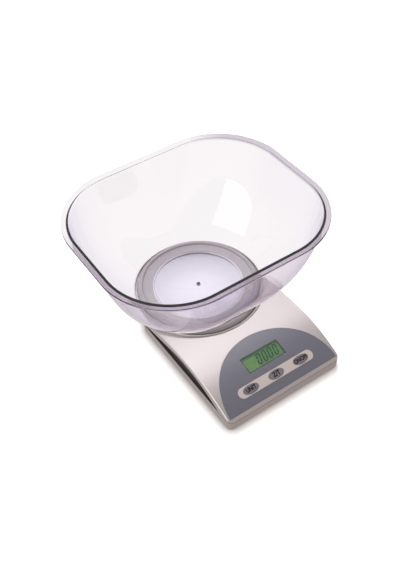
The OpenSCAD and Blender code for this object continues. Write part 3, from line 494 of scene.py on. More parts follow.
dress(silver_paint("silver_housing", (0.56, 0.52, 0.515), 0.37), "top_cover")
tray_silver = silver_paint("tray_silver", (0.54, 0.49, 0.48), 0.46)
dress(tray_silver, "bottom_tray", "battery_door")

# %% [markdown]
# Panel, strip, keys and side recesses
#
# The panel is a slate grey sheet with a smooth satin face. The strip round the keys is a
# warm pale plastic, and the keys are a grey with a trace of violet. The crescents in the
# sides are nearly black brown and rough: their colour is painted shade for the recesses.

# %% Panel and key finishes
dress(finish("slate_panel", (0.165, 0.168, 0.205), (0.15, 0.155, 0.195), gloss=0.38, bump=0.03),
      "display_panel")
dress(finish("pearl_strip", (0.62, 0.55, 0.53), (0.56, 0.5, 0.49), gloss=0.36, bump=0.02), "key_strip")
dress(finish("key_grey", (0.2, 0.185, 0.215), (0.17, 0.16, 0.19), gloss=0.45, grain=1800.0, bump=0.05),
      "key_unit", "key_tare", "key_power")
# The recess inserts are near black brown: painted shade in the side crescents.
dress(finish("recess_painted_shade", (0.058, 0.044, 0.04), (0.04, 0.03, 0.028), gloss=0.55, bump=0.08),
      "insert_left", "insert_right")

# %% [markdown]
# The weighing dish
#
# The dish is grey plastic with a fine spark-eroded grain, and the plate let into it is
# pale with a lilac cast. The carrier below it is never seen from above, but it is in
# sight when the dish is taken off, so it gets its own coarser grain.

# %% Dish finishes
dress(finish("dish_grey", (0.455, 0.445, 0.465), (0.4, 0.39, 0.41), gloss=0.48, grain=1900.0, bump=0.08),
      "dish")
dress(finish("plate_lilac", (0.84, 0.87, 0.97), (0.8, 0.83, 0.94), gloss=0.4, bump=0.03), "dish_plate")
dress(finish("carrier_grey", (0.075, 0.075, 0.082), (0.06, 0.06, 0.065), gloss=0.5, grain=1100.0, bump=0.12),
      "carrier")

# %% [markdown]
# Rubber, sealant and soft parts
#
# The feet are black rubber with a dusty bloom, the gauges on the beam lie under white
# sealant, and the leads are sheathed in soft plastic. All are dull, with little shine
# and a soft uneven surface.

# %% Soft finishes
dress(finish("foot_rubber", (0.022, 0.022, 0.023), (0.045, 0.044, 0.042), gloss=0.78, grain=900.0, bump=0.2),
      "rubber_feet")
dress(finish("gauge_sealant", (0.78, 0.78, 0.74), (0.68, 0.67, 0.62), gloss=0.5, grain=500.0, bump=0.3),
      "gauge_cover")
dress(finish("lead_sheath", (0.42, 0.42, 0.41), (0.36, 0.36, 0.35), gloss=0.55, bump=0.05), "cell_lead")
dress(finish("lead_red", (0.36, 0.02, 0.018), (0.28, 0.014, 0.014), gloss=0.45, bump=0.04), "battery_leads")
dress(finish("frame_black", (0.014, 0.014, 0.016), (0.02, 0.02, 0.021), gloss=0.5, bump=0.1), "display_frame")

# %% [markdown]
# Metals
#
# Screws and contacts are plated steel, smooth with faint cloudy patches. The beam, its
# post and its plate are milled aluminium: the cutter leaves long fine lines, so the
# noise is squeezed along the beam.


# %% Metal finishes
def plated(name, colour, second, gloss):
    return finish(name, colour, second, gloss=gloss, spread=0.16, grain=600.0, bump=0.03, Metallic=1.0)


def milled(name, colour):
    material = finish(name, colour, tuple(0.9 * v for v in colour), gloss=0.34, bump=0.12, Metallic=1.0)
    tree = material.node_tree
    relief = next(n for n in tree.nodes if n.type == "BUMP")
    fill(tree, relief.inputs["Height"], noise(tree, 60.0, 2.0, stretch=(60, 1.2, 60)))
    return material


dress(plated("zinc_steel", (0.6, 0.6, 0.62), (0.5, 0.51, 0.54), 0.32),
      "board_screws", "lower_screws", "upper_screws", "dish_screws", "overload_stop", "housing_screws")
dress(plated("nickel_contact", (0.66, 0.63, 0.57), (0.58, 0.55, 0.5), 0.26),
      "battery_springs", "battery_contacts")
dress(milled("milled_aluminium", (0.66, 0.67, 0.69)), "load_cell", "beam_post", "base_plate")

# %% [markdown]
# The circuit board and what is on it
#
# The board is fibreglass under green lacquer, and copper tracks show through it as a
# paler net. A brick pattern on object coordinates gives straight tracks without a
# picture. The switches are pressed metal with a dark plunger, and the soft strip
# between display and board has thin stripes of carbon.


# %% Board finishes
def recolour(material, colour, *labels):
    """Feeds a new colour or value to one or more sockets of a finish."""
    for label in labels:
        fill(material.node_tree, material.node_tree.nodes["Principled BSDF"].inputs[label], colour)
    return material


lacquer = (0.012, 0.105, 0.045)
board_lacquer = finish("board_lacquer", lacquer, (0.02, 0.17, 0.07), gloss=0.25, bump=0.05)
tree = board_lacquer.node_tree
tracks = add_node(tree, "ShaderNodeTexBrick", Vector=spot_of(tree), Scale=95.0, Mortar_Size=0.035,
                  Color1=(*lacquer, 1), Color2=(0.016, 0.13, 0.055, 1), Mortar=(0.05, 0.26, 0.1, 1))
dress(recolour(board_lacquer, tracks.outputs["Color"], "Base Color"), "circuit_board")
dress(finish("part_epoxy", (0.012, 0.012, 0.013), (0.02, 0.02, 0.02), gloss=0.35, bump=0.08), "board_parts")
dress(plated("switch_steel", (0.6, 0.6, 0.6), (0.46, 0.46, 0.47), 0.3), "key_switches")

rubber_pink = (0.5, 0.16, 0.2)
stripes = finish("contact_rubber", rubber_pink, (0.44, 0.13, 0.17), gloss=0.6, bump=0.05)
tree = stripes.node_tree
wave = add_node(tree, "ShaderNodeTexWave", Vector=spot_of(tree), Scale=1600.0)
striped = colour_mix(tree, wave.outputs["Fac"], (*rubber_pink, 1), (0.03, 0.02, 0.02, 1))
dress(recolour(stripes, striped, "Base Color"), "contact_strips")

# %% [markdown]
# Cells and their sleeves
#
# A battery is a steel can in a printed sleeve, bare at both ends. Here the sleeve is
# plain grey with one paler band. The two cells lie along X, so the distance from the
# middle along X says where sleeve ends and metal begins.

# %% Battery finish
bare_end, band_end = 2.2 * MM, 9.5 * MM
sleeve_grey = (0.1, 0.115, 0.14)

cell_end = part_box("batteries")[1].x
cell_finish = finish("cell_sleeve", sleeve_grey, (0.085, 0.1, 0.125), gloss=0.3, bump=0.02)
tree = cell_finish.node_tree
off_middle = maths(tree, "ABSOLUTE", parts_of(tree, spot_of(tree))["X"])
bare = maths(tree, "GREATER_THAN", off_middle, cell_end - bare_end)
band = maths(tree, "GREATER_THAN", off_middle, cell_end - band_end)
sleeve = colour_mix(tree, band, (*sleeve_grey, 1), (0.48, 0.47, 0.44, 1))
recolour(cell_finish, colour_mix(tree, bare, sleeve, (0.6, 0.6, 0.6, 1)), "Base Color")
dress(recolour(cell_finish, bare, "Metallic"), "batteries")

# %% [markdown]
# Clear parts
#
# The pan and the window over the display are clear plastic. Light that only passes on to
# something behind must not be stopped, or the dish below the pan would turn black, so
# shadow rays and diffuse rays meet a plain transparent shader instead. The pan has a
# faint violet tint that grows with the length of plastic a ray crosses: a wall seen
# straight on is nearly colourless, and the rim, seen along its wall, is a dark line. A
# layer weight deepens that tint where the surface is seen at a low angle.


# %% Clear plastic
def clear_plastic(name, gloss, let_through, tint, thickening, edge_on, **sockets):
    material, tree = new_material(name)
    grazing = maths(tree, "POWER", tree.nodes.new("ShaderNodeLayerWeight").outputs["Facing"], 2.0)
    wear = use_group(tree, gloss_tree, Roughness=gloss, Spread=gloss, Marks_per_metre=30.0)
    shader = fill_named(tree, tree.nodes["Principled BSDF"], {
        "Base Color": colour_mix(tree, grazing, (0.975, 0.95, 0.955, 1), (*edge_on, 1)),
        "Roughness": wear.outputs["Roughness"],
        "Transmission Weight": 1.0,
        "IOR": 1.5,
        **sockets,
    })
    passed = colour_mix(tree, grazing, (*let_through, 1), (0.82, 0.79, 0.83, 1))
    passing = add_node(tree, "ShaderNodeBsdfTransparent", Color=passed)
    rays = tree.nodes.new("ShaderNodeLightPath").outputs
    lets = maths(tree, "MAXIMUM", rays["Is Shadow Ray"], rays["Is Diffuse Ray"])
    soak = add_node(tree, "ShaderNodeVolumeAbsorption", Color=(*tint, 1), Density=thickening)
    out = tree.nodes["Material Output"]
    fill(tree, out.inputs["Surface"], shader_mix(tree, lets, shader, passing).outputs[0])
    fill(tree, out.inputs["Volume"], soak.outputs[0])
    return material


pan_clear = clear_plastic("pan_clear", 0.02, (0.975, 0.97, 0.98), (0.45, 0.25, 0.4), 12.0, (0.56, 0.47, 0.7))
dress(pan_clear, "pan")
window_clear = clear_plastic("window_clear", 0.03, (0.93, 0.95, 0.93), (0.6, 0.8, 0.6), 40.0, (0.8, 0.9, 0.8),
                             Specular_IOR_Level=0.15)
dress(window_clear, "display_window")

# %% [markdown]
# Rim and foot of the pan
#
# The rim gathers the tint of the wall below it, so it is deeper in colour than the wall.
# Its colour is also painted paler along the back: painted light from the bright side of the
# tent that lies behind it. The foot ring is a little duller than the rest, as moulds leave it.

# %% Thick rim and satin foot
tinted_rim, satin_foot = 2.9 * MM, 1.2 * MM
painted_light_over = 50 * MM

pan_low, pan_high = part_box("pan")
tree = pan_clear.node_tree
shader = tree.nodes["Principled BSDF"]
spot = parts_of(tree, spot_of(tree))
on_rim = maths(tree, "GREATER_THAN", spot["Z"], pan_high.z - tinted_rim)
on_foot = maths(tree, "LESS_THAN", spot["Z"], pan_low.z + satin_foot)
towards_right = maths(tree, "MULTIPLY", maths(tree, "MAXIMUM", spot["X"], 0.0), 0.9)
off_centre = maths(tree, "SUBTRACT", spot["Y"], (pan_low.y + pan_high.y) / 2)
# Painted light: the rim colour is mixed paler towards the back, for the bright tent behind it.
painted_light_rim = tree.nodes.new("ShaderNodeMapRange")
fill(tree, painted_light_rim.inputs["Value"], maths(tree, "SUBTRACT", off_centre, towards_right))
fill(tree, painted_light_rim.inputs["From Max"], painted_light_over)
rim_tint_with_painted_light = colour_mix(tree, painted_light_rim.outputs[0], (0.66, 0.6, 0.68, 1), (0.95, 0.93, 0.945, 1))
wall_colour = shader.inputs["Base Color"].links[0].from_socket
polish = shader.inputs["Roughness"].links[0].from_socket
recolour(pan_clear, colour_mix(tree, on_rim, wall_colour, rim_tint_with_painted_light), "Base Color")
recolour(pan_clear, maths(tree, "ADD", maths(tree, "MULTIPLY", on_foot, 0.12), polish), "Roughness")
print("rim tint above", round(pan_high.z - tinted_rim, 4))
print("satin foot below", round(pan_low.z + satin_foot, 4))

# %% [markdown]
# The display and the light behind it
#
# The liquid crystal glass glows green from the guide behind it. Its left quarter is
# painted paler, a painted pool of light, and its upper edge is painted darker, a painted
# shadow of the frame over it. Both follow from where a point lies on the glass, so they
# come from object coordinates. A little emission stands for the lamp inside; the rest is
# colour, so that the display also looks right unlit.

# %% Display finishes
glass_face = -1.7 * MM
painted_light_from, painted_light_to = -7.2 * MM, -8.6 * MM
painted_shadow_from = 5.2 * MM

glass_finish = finish("display_green", (0.05, 0.24, 0.06), (0.06, 0.3, 0.09), gloss=0.22, bump=0.0,
                      Emission_Strength=0.2, Specular_IOR_Level=0.1)
tree = glass_finish.node_tree
spot = parts_of(tree, spot_of(tree))
# Painted light on the left quarter and painted shadow of the frame along the top edge.
painted_lit_left = tree.nodes.new("ShaderNodeMapRange")
for label, value in (("Value", spot["X"]), ("From Min", painted_light_from), ("From Max", painted_light_to)):
    fill(tree, painted_lit_left.inputs[label], value)
green = colour_mix(tree, painted_lit_left.outputs[0], (0.08, 0.22, 0.08, 1), (0.12, 0.25, 0.085, 1))
painted_frame_shadow = maths(tree, "GREATER_THAN", spot["Y"], on_display_plane(0, painted_shadow_from, glass_face).y)
face = colour_mix(tree, painted_frame_shadow, green, (0.045, 0.14, 0.045, 1))
dress(recolour(glass_finish, face, "Base Color", "Emission Color"), "lcd_glass")
dress(finish("guide_green", (0.12, 0.5, 0.14), (0.16, 0.6, 0.2), gloss=0.5, bump=0.1), "light_guide")

# %% [markdown]
# Helpers for pieces
#
# Every new piece ends as a plain mesh whose object sits at the origin and rides on one body
# of the frame.


# %% Piece helpers
def settle(piece, body, slot_name, material, *nodes):
    piece.data.materials.clear()
    piece.data.materials.append(material)
    if nodes:
        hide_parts(*nodes)
    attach(piece, body)
    print(piece.name, "faces", len(piece.data.polygons), "on", body)


# %% Tree helpers
def geometry_tree(name, *inputs):
    """An empty tree; each input is a label, the kind of its socket and sometimes a value."""
    tree = bpy.data.node_groups.new(name, "GeometryNodeTree")
    for label, kind, *values in (("Geometry", "Geometry"), *inputs, ("Finish", "Material")):
        socket = tree.interface.new_socket(label, in_out="INPUT", socket_type="NodeSocket" + kind)
        for value in values:
            socket.default_value = value
    tree.interface.new_socket("Geometry", in_out="OUTPUT", socket_type="NodeSocketGeometry")
    return tree, tree.nodes.new("NodeGroupInput").outputs


def end_tree(tree, geometry, given):
    """Every tree ends by making its copies real and giving them their finish."""
    real = add_node(tree, "GeometryNodeRealizeInstances", Geometry=geometry)
    paint = add_node(tree, "GeometryNodeSetMaterial", Geometry=real.outputs["Geometry"],
                     Material=given["Finish"])
    add_node(tree, "NodeGroupOutput", Geometry=paint.outputs["Geometry"])
    print("tree:", tree.name, "with", len(tree.nodes), "nodes")


# %% Growing helpers
def plain_mesh(holder):
    """The finished mesh of an object with a modifier or a text, which is then removed."""
    holder.update_tag()
    bpy.context.view_layer.update()
    ready = holder.evaluated_get(bpy.context.evaluated_depsgraph_get())
    mesh = bpy.data.meshes.new_from_object(ready)
    bpy.data.objects.remove(holder)
    return mesh


def grow(name, base_mesh, tree, **values):
    """Runs a tree on a base mesh, sets its inputs by identifier and keeps the plain result."""
    holder = new_piece(name + "_maker", base_mesh)
    modifier = holder.modifiers.new("maker", "NODES")
    modifier.node_group = tree
    sockets = {s.name: s.identifier for s in tree.interface.items_tree if s.in_out == "INPUT"}
    for label, value in values.items():
        modifier[sockets[label.replace("_", " ")]] = value
    mesh = plain_mesh(holder)
    mesh.name = name
    print("grown:", name, "with", len(mesh.vertices), "points")
    return new_piece(name, mesh)

# %% [markdown]
# The clear pan
#
# The pan is one moulding: a round foot, a round heel, and a wall that opens into a
# rounded rectangle with a flat rim. It could be modelled by hand with subdivision, but
# its shape follows a rule, so a tree of nodes makes it. The base mesh is only the
# section: a line of points, each with its height, half width, half depth and corner
# radius. The tree sweeps that section round the outline.

# %% Section of the pan
rim_corner, rim_width, rim_thick = 75 * MM, 5 * MM, 2.4 * MM
wall_thick = 2.2 * MM
rest_depth, rest_gap = 2.2 * MM, 0.25 * MM
heel_half, heel_below_dish = 58.7 * MM, 0.4 * MM
foot_out, foot_in = 48.1 * MM, 46.5 * MM
field_half, field_deep = 44 * MM, 0.2 * MM
wall_steps = 40

dish_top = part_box("dish")[1].z
rim_half_x = (pan_high.x - pan_low.x) / 2
rim_half_y = (pan_high.y - pan_low.y) / 2
foot_bottom = pan_low.z
under = dish_top - rest_depth + rest_gap
heel_level = dish_top - heel_below_dish
wall_top = pan_high.z - rim_thick
print("pan", round(rim_half_x * 2, 4), "x", round(rim_half_y * 2, 4))


# %% Levels of the wall
def swell(share):
    return 0.3 * share + 0.7 * (1 - (1 - share) ** 3)


def wall_row(share, inset=0.0):
    """One level of the wall, inset sideways so that the wall keeps its true thickness."""
    slope = 0.3 + 2.1 * (1 - share) ** 2
    grow_to = swell(share)
    rows = [heel_level + (wall_top - heel_level) * share]
    for top in (rim_half_x - rim_width, rim_half_y - rim_width):
        lean_out = (top - heel_half) * slope / (wall_top - heel_level)
        sideways_inset = inset * math.sqrt(1 + lean_out * lean_out)
        rows.append(heel_half + (top - heel_half) * grow_to - sideways_inset)
    corner = heel_half + (rim_corner - rim_width - heel_half) * grow_to
    full_growth = (rim_half_x + rim_half_y - 2 * rim_width - 2 * heel_half) / 2
    pulled = (rows[1] + rows[2]) / 2 - heel_half - full_growth * grow_to
    rows.append(corner + pulled)
    return rows


def round_row(level_z, radius):
    return [level_z, radius, radius, radius]


floor_share = (under + wall_thick - heel_level) / (wall_top - heel_level)
print("floor share", round(floor_share, 4))


# %% Soft corners
def soften(rows, radii, steps=5):
    """Rounds the corners of the section: each one becomes a short curve between its two legs."""
    rows = [np.array(row) for row in rows]
    done = []
    for i, row in enumerate(rows):
        radius = radii.get(i, 0)
        if not radius:
            done.append(row)
            continue
        legs = []
        for other in (rows[i - 1], rows[i + 1]):
            length = max(math.dist(row[:2], other[:2]), 1e-9)
            legs.append(row + (other - row) * min(radius / length, 0.48))
        for k in range(steps + 1):
            s = k / steps
            done.append((1 - s) ** 2 * legs[0] + 2 * s * (1 - s) * row + s * s * legs[1])
    return np.array(done)


print("a corner of three points becomes", len(soften([(0, 0), (1, 0), (1, 1)], {1: 0.3})), "points")

# %% From the foot to the field
foot = [
    round_row(under, 0.0),
    round_row(under, foot_in),
    round_row(foot_bottom, foot_in + 0.3 * MM),
    round_row(foot_bottom, foot_out),
    round_row(under, foot_out + 0.25 * MM),
    round_row(under, heel_half - 2.6 * MM),
]
outer = [wall_row(k / wall_steps) for k in range(wall_steps + 1)]
inner = [wall_row(1 - (1 - floor_share) * k / wall_steps, wall_thick)
         for k in range(wall_steps + 1)]
rim = [
    [wall_top, rim_half_x, rim_half_y, rim_corner],
    [pan_high.z, rim_half_x, rim_half_y, rim_corner],
]
inner[0][0] = pan_high.z
field = [
    round_row(under + wall_thick, field_half),
    round_row(under + wall_thick - field_deep, field_half - field_deep),
    round_row(under + wall_thick - field_deep, 0.0),
]
heel_at = len(foot)
lip_at = heel_at + wall_steps
floor_at = lip_at + len(rim) + len(inner)
corner_mm = {1: 0.3, 2: 0.35, 3: 0.35, 4: 0.3, 5: 0.8, heel_at: 0.7, lip_at: 0.8,
             lip_at + 1: 0.7, lip_at + 2: 0.9, lip_at + 3: 0.6, floor_at: 4.0}
radii = {place: radius * MM for place, radius in corner_mm.items()}
section = soften(foot + outer + rim + inner + field, radii)
print("section rows", len(section))

# %% [markdown]
# The tree that sweeps the pan
#
# The tree lays out a grid with one row for each point of the section and one column for
# each direction. In each direction it works out how far a rounded rectangle reaches: up
# to a flat side, up to an end, or up to the corner's circle. It is the same rule that
# the solid follows, with many more steps.


# %% Sweep tree
def on_pan(operation, *values):
    return maths(pan_tree, operation, *values)


def section_value(label):
    """Reads one attribute of the section at this point's row."""
    name = add_node(pan_tree, "GeometryNodeInputNamedAttribute", Name=label)
    sample = add_node(pan_tree, "GeometryNodeSampleIndex", Geometry=given["Geometry"],
                      Value=name.outputs["Attribute"], Index=row)
    return sample.outputs["Value"]


pan_directions = 240
pan_tree, given = geometry_tree("pan_sweep", ("Directions", "Int", pan_directions), ("Centre", "Vector"))
size = add_node(pan_tree, "GeometryNodeAttributeDomainSize", Geometry=given["Geometry"])
count = size.outputs["Point Count"]
columns = on_pan("ADD", given["Directions"], 1)
grid = add_node(pan_tree, "GeometryNodeMeshGrid", Vertices_X=columns, Vertices_Y=count)
index = pan_tree.nodes.new("GeometryNodeInputIndex").outputs["Index"]
column = on_pan("FLOOR", on_pan("DIVIDE", on_pan("ADD", index, 0.5), count))
row = on_pan("SUBTRACT", index, on_pan("MULTIPLY", column, count))
turn = on_pan("MULTIPLY", on_pan("DIVIDE", column, given["Directions"]), 2 * math.pi)
half_w, half_d = section_value("half_width"), section_value("half_depth")
corner, level_z = section_value("corner"), section_value("level")
print("nodes so far:", len(pan_tree.nodes))


# %% Reach of a rounded rectangle
def pick(condition, yes, no):
    switch = pan_tree.nodes.new("GeometryNodeSwitch")
    switch.input_type = "FLOAT"
    return fill_named(pan_tree, switch, {"Switch": condition, "False": no, "True": yes}).outputs["Output"]


def at_most(first, second):
    compare = pan_tree.nodes.new("FunctionNodeCompare")
    compare.operation = "LESS_EQUAL"
    for socket, value in zip(compare.inputs, (first, second)):
        fill(pan_tree, socket, value)
    return compare.outputs["Result"]


cosine, sine = on_pan("COSINE", turn), on_pan("SINE", turn)
c, s = on_pan("ABSOLUTE", cosine), on_pan("ABSOLUTE", sine)
flat_x, flat_y = on_pan("SUBTRACT", half_w, corner), on_pan("SUBTRACT", half_d, corner)
along = on_pan("ADD", on_pan("MULTIPLY", c, flat_x), on_pan("MULTIPLY", s, flat_y))
squares = on_pan("ADD", on_pan("MULTIPLY", flat_x, flat_x), on_pan("MULTIPLY", flat_y, flat_y))
off = on_pan("SUBTRACT", squares, on_pan("MULTIPLY", corner, corner))
inside = on_pan("SUBTRACT", on_pan("MULTIPLY", along, along), off)
root = on_pan("SQRT", on_pan("MAXIMUM", inside, 0.0))
to_corner = on_pan("ADD", along, root)
to_side = on_pan("DIVIDE", half_w, on_pan("MAXIMUM", c, 1e-6))
to_end = on_pan("DIVIDE", half_d, on_pan("MAXIMUM", s, 1e-6))
side_on = at_most(on_pan("MULTIPLY", half_w, s), on_pan("MULTIPLY", flat_y, c))
end_on = at_most(on_pan("MULTIPLY", half_d, c), on_pan("MULTIPLY", flat_x, s))
reach = pick(side_on, to_side, pick(end_on, to_end, to_corner))
print("nodes with the reach:", len(pan_tree.nodes))

# %% Place and close the sweep
weld_within = 0.003 * MM

spot = add_node(pan_tree, "ShaderNodeCombineXYZ", X=on_pan("MULTIPLY", reach, cosine),
                Y=on_pan("MULTIPLY", reach, sine), Z=level_z)
shift = pan_tree.nodes.new("ShaderNodeVectorMath")
fill(pan_tree, shift.inputs[0], spot.outputs[0])
fill(pan_tree, shift.inputs[1], given["Centre"])
move = add_node(pan_tree, "GeometryNodeSetPosition", Geometry=grid.outputs["Mesh"],
                Position=shift.outputs[0])
weld = add_node(pan_tree, "GeometryNodeMergeByDistance", Geometry=move.outputs["Geometry"],
                Distance=weld_within)
smooth = add_node(pan_tree, "GeometryNodeSetShadeSmooth", Geometry=weld.outputs["Geometry"])
end_tree(pan_tree, smooth.outputs["Geometry"], given)

section_mesh = new_mesh("pan_section", [(0, 0, row[0]) for row in section],
                        [(i, i + 1) for i in range(len(section) - 1)])
for column_at, label in enumerate(("level", "half_width", "half_depth", "corner")):
    held = section_mesh.attributes.new(label, "FLOAT", "POINT")
    held.data.foreach_set("value", np.ascontiguousarray(section[:, column_at], dtype=np.float32))
pan = grow("clear_pan", section_mesh, pan_tree, Directions=pan_directions,
           Centre=(0.0, axis_y, 0.0), Finish=pan_clear)
settle(pan, "pan", "clear_pan", pan_clear, "pan")

# %% [markdown]
# The clear wall and the lamp
#
# The softbox would show in the clear wall as a second bright patch. So the pan is left
# out of that one lamp's light, and it mirrors only the lit window and the pale room.

# %% Keep the lamp out of the pan's mirror
not_lit = bpy.data.collections.new("not_lit_by_softbox")
not_lit.objects.link(pan)
key_lamp.light_linking.receiver_collection = not_lit
not_lit.collection_objects[0].light_linking.link_state = "EXCLUDE"

# %% [markdown]
# The gate mark
#
# Clear plastic enters its mould through one small hole, here in the middle of the
# floor. What is left is a small frosted stub below the pan, which shows as a dark dot.
# It is turned from a short section, like anything on a lathe.


# %% Turned pieces
def turned(name, profile, centre, sides=40):
    """A closed turned piece: profile is (radius, level) from the lower middle to the upper middle."""
    points, faces = [], []
    for radius, level_z in profile[1:-1]:
        for k in range(sides):
            a = 2 * math.pi * k / sides
            x, y = radius * math.cos(a), radius * math.sin(a)
            points.append((centre[0] + x, centre[1] + y, level_z))
    rings = len(profile) - 2
    points += [(*centre, profile[0][1]), (*centre, profile[-1][1])]
    for k in range(sides):
        n = (k + 1) % sides
        faces.append((rings * sides, n, k))
        faces.append((rings * sides + 1, (rings - 1) * sides + k, (rings - 1) * sides + n))
        for i in range(rings - 1):
            faces.append((i * sides + k, i * sides + n, (i + 1) * sides + n, (i + 1) * sides + k))
    return new_mesh(name, points, faces=faces)


stub = [(0, -0.9), (0.9, -0.9), (1.5, -0.75), (1.75, -0.4), (2.0, -0.02), (0, -0.02)]
gate_mesh = turned("gate_mark", [(r * MM, under + h * MM) for r, h in stub], (0, axis_y))
gate_mesh.polygons.foreach_set("use_smooth", [True] * len(gate_mesh.polygons))
frosted = finish("frosted_stub", (0.035, 0.03, 0.045), (0.12, 0.11, 0.15), gloss=0.25, bump=0.2)
settle(new_piece("gate_mark", gate_mesh), "pan", "clear_pan", frosted)

# %% [markdown]
# Words on the keys
#
# The keys carry plain words in black print. Text is made a mesh first, thin as ink, and
# each of its points is then wrapped on the arch at the height of the key's face. It
# rides on its own key, so it goes down with it.

# %% Printed words
key_face = 1.0 * MM
key_slope = arch_radius * math.asin(key_row / (arch_radius + key_face))
ink_thick, ink_gap = 0.01 * MM, 0.015 * MM
stroke_weight = 0.4 * MM

ink = finish("key_ink", (0.006, 0.006, 0.007), (0.01, 0.01, 0.01), gloss=0.7, bump=0.03,
             Specular_IOR_Level=0.15)


def text_mesh(name, words, wide, high):
    """A flat closed word, centred on its origin and stretched to a width and a height."""
    curve = bpy.data.curves.new(name, "FONT")
    curve.body = words
    curve.size = 10 * MM
    curve.extrude = ink_thick
    curve.offset = stroke_weight
    mesh = plain_mesh(new_piece(name + "_maker", curve))
    spots = np.array([v.co for v in mesh.vertices])
    low, high_corner = spots.min(0), spots.max(0)
    middle = (low + high_corner) / 2
    scale = (wide / (high_corner[0] - low[0]), high / (high_corner[1] - low[1]))
    for vertex in mesh.vertices:
        vertex.co.x = (vertex.co.x - middle[0]) * scale[0]
        vertex.co.y = (vertex.co.y - middle[1]) * scale[1]
    return mesh


def print_on_key(name, words, at_x, wide, high, body):
    mesh = text_mesh(name, words, wide, high)
    for vertex in mesh.vertices:
        height = key_face + ink_gap + vertex.co.z
        vertex.co = on_arch(at_x + vertex.co.x, key_slope + vertex.co.y, height)
    settle(new_piece(name, mesh), body, "key_plastic", ink)


print_on_key("unit_words", "UNIT", -key_pitch, 11.6 * MM, 4.8 * MM, "unit_key")
print_on_key("tare_words", "Z/T", 0.0, 8.8 * MM, 5.2 * MM, "tare_key")
print_on_key("power_words", "ON/OFF", key_pitch, 15.2 * MM, 4.6 * MM, "power_key")

# %% [markdown]
# Digits of the display
#
# A digit of such a display is seven bars with pointed ends, and a nought leaves out the
# middle one. One nought is drawn as a closed thin mesh; a small tree repeats it along a
# line, as many times as the display has places. Number and spacing are its inputs.

# %% One digit
digit_high, digit_wide, bar_wide = 10.4 * MM, 3.4 * MM, 1.55 * MM
slant = 1.25 * MM
bar_gap = 0.05
digit_low, digit_top = 0.01 * MM, 0.03 * MM


def bar(start, end, wide):
    """A flat bar with pointed ends, as six corners."""
    start, end = np.array(start), np.array(end)
    way = (end - start) / np.linalg.norm(end - start)
    side = np.array([-way[1], way[0]]) * wide / 2
    tip = way * wide / 2
    return [start, start + tip - side, end - tip - side, end, end - tip + side, start + tip + side]


def prism(outlines, low, high_z, name):
    """Closed prisms from flat outlines that run anticlockwise."""
    points, faces = [], []
    for outline in outlines:
        n, base = len(outline), len(points)
        points += [(p[0], p[1], z) for z in (low, high_z) for p in outline]
        faces.append(tuple(base + k for k in reversed(range(n))))
        faces.append(tuple(base + n + k for k in range(n)))
        for k in range(n):
            m = (k + 1) % n
            faces.append((base + k, base + m, base + n + m, base + n + k))
    return new_mesh(name, points, faces=faces)


w, h = digit_wide / 2, digit_high / 2
corners = [(-w - slant, -h), (w - slant, -h), (w, 0), (w + slant, h), (-w + slant, h), (-w, 0)]
bars = [bar(corners[i], corners[(i + 1) % 6], bar_wide) for i in range(6)]
shrunk = [[(1 - bar_gap) * p + bar_gap * sum(b) / 6 for p in b] for b in bars]
digit_mesh = prism(shrunk, digit_low, digit_top, "one_digit")
print("digit bars", len(bars))

# %% Row of digits
digit_places, digit_pitch = 4, 6.7 * MM
first_digit = (-4.6 * MM, 0.1 * MM, 0.0)

row_tree, given = geometry_tree("repeat_along_line", ("Count", "Int", digit_places), ("Start", "Vector"),
                                ("Step", "Vector"))
line = row_tree.nodes.new("GeometryNodeMeshLine")
line.mode = "OFFSET"
for label, source in (("Count", "Count"), ("Start Location", "Start"), ("Offset", "Step")):
    fill(row_tree, line.inputs[label], given[source])
copies = add_node(row_tree, "GeometryNodeInstanceOnPoints", Points=line.outputs["Mesh"],
                  Instance=given["Geometry"])
end_tree(row_tree, copies.outputs["Instances"], given)

segment_ink = finish("segment_green", (0.008, 0.04, 0.012), (0.012, 0.05, 0.016), gloss=0.6, bump=0.0,
                     Specular_IOR_Level=0.1)
digits = grow("display_digits", digit_mesh, row_tree, Count=digit_places, Start=first_digit,
              Step=(digit_pitch, 0.0, 0.0), Finish=segment_ink)
for vertex in digits.data.vertices:
    vertex.co = on_display_plane(vertex.co.x, vertex.co.y, glass_face + vertex.co.z)
settle(digits, "housing", "lcd_glass", segment_ink)

# %% [markdown]
# The printed border of the window
#
# The clear window is printed dark round its edge on the inner side, which hides the
# ledge that carries it. It is a thin closed ring between a rounded outer and a rounded
# inner outline.


# %% Window border
def rounded_outline(wide, deep, radius, steps=6):
    points = []
    for corner_at, (sx, sy) in enumerate(((1, 1), (-1, 1), (-1, -1), (1, -1))):
        for k in range(steps + 1):
            a = math.pi / 2 * (corner_at + k / steps)
            points.append((sx * (wide / 2 - radius) + radius * math.cos(a),
                           sy * (deep / 2 - radius) + radius * math.sin(a)))
    return points


def flat_ring(name, outer_line, inner_line, low, high_z):
    n = len(outer_line)
    points = [(x, y, z) for z in (low, high_z) for x, y in outer_line + inner_line]
    faces = []
    for k in range(n):
        m = (k + 1) % n
        faces += [(k, k + n, m + n, m), (k + 2 * n, m + 2 * n, m + 3 * n, k + 3 * n),
                  (k, m, m + 2 * n, k + 2 * n), (k + n, k + 3 * n, m + 3 * n, m + n)]
    return new_mesh(name, points, faces=faces)


border_out, border_in, border_corner = (44.2 * MM, 17.2 * MM), (42.3 * MM, 15.3 * MM), 0.4 * MM
border_low, border_high = -1.585 * MM, -1.515 * MM
border_mesh = flat_ring("window_border", rounded_outline(*border_out, border_corner),
                        rounded_outline(*border_in, border_corner), border_low, border_high)
for vertex in border_mesh.vertices:
    vertex.co = on_display_plane(*vertex.co)
border_ink = finish("border_ink", (0.012, 0.022, 0.014), (0.02, 0.03, 0.02), gloss=0.5, bump=0.02)
settle(new_piece("window_border", border_mesh), "housing", "black_plastic", border_ink)

# %% [markdown]
# Screws with a cross recess
#
# The housing is held by six screws from below. They are all the same, so one tree makes
# a screw from its sizes, cuts the cross recess with two crossed bars, and sets a copy on
# every point of the base mesh. The points are the places of the screws.

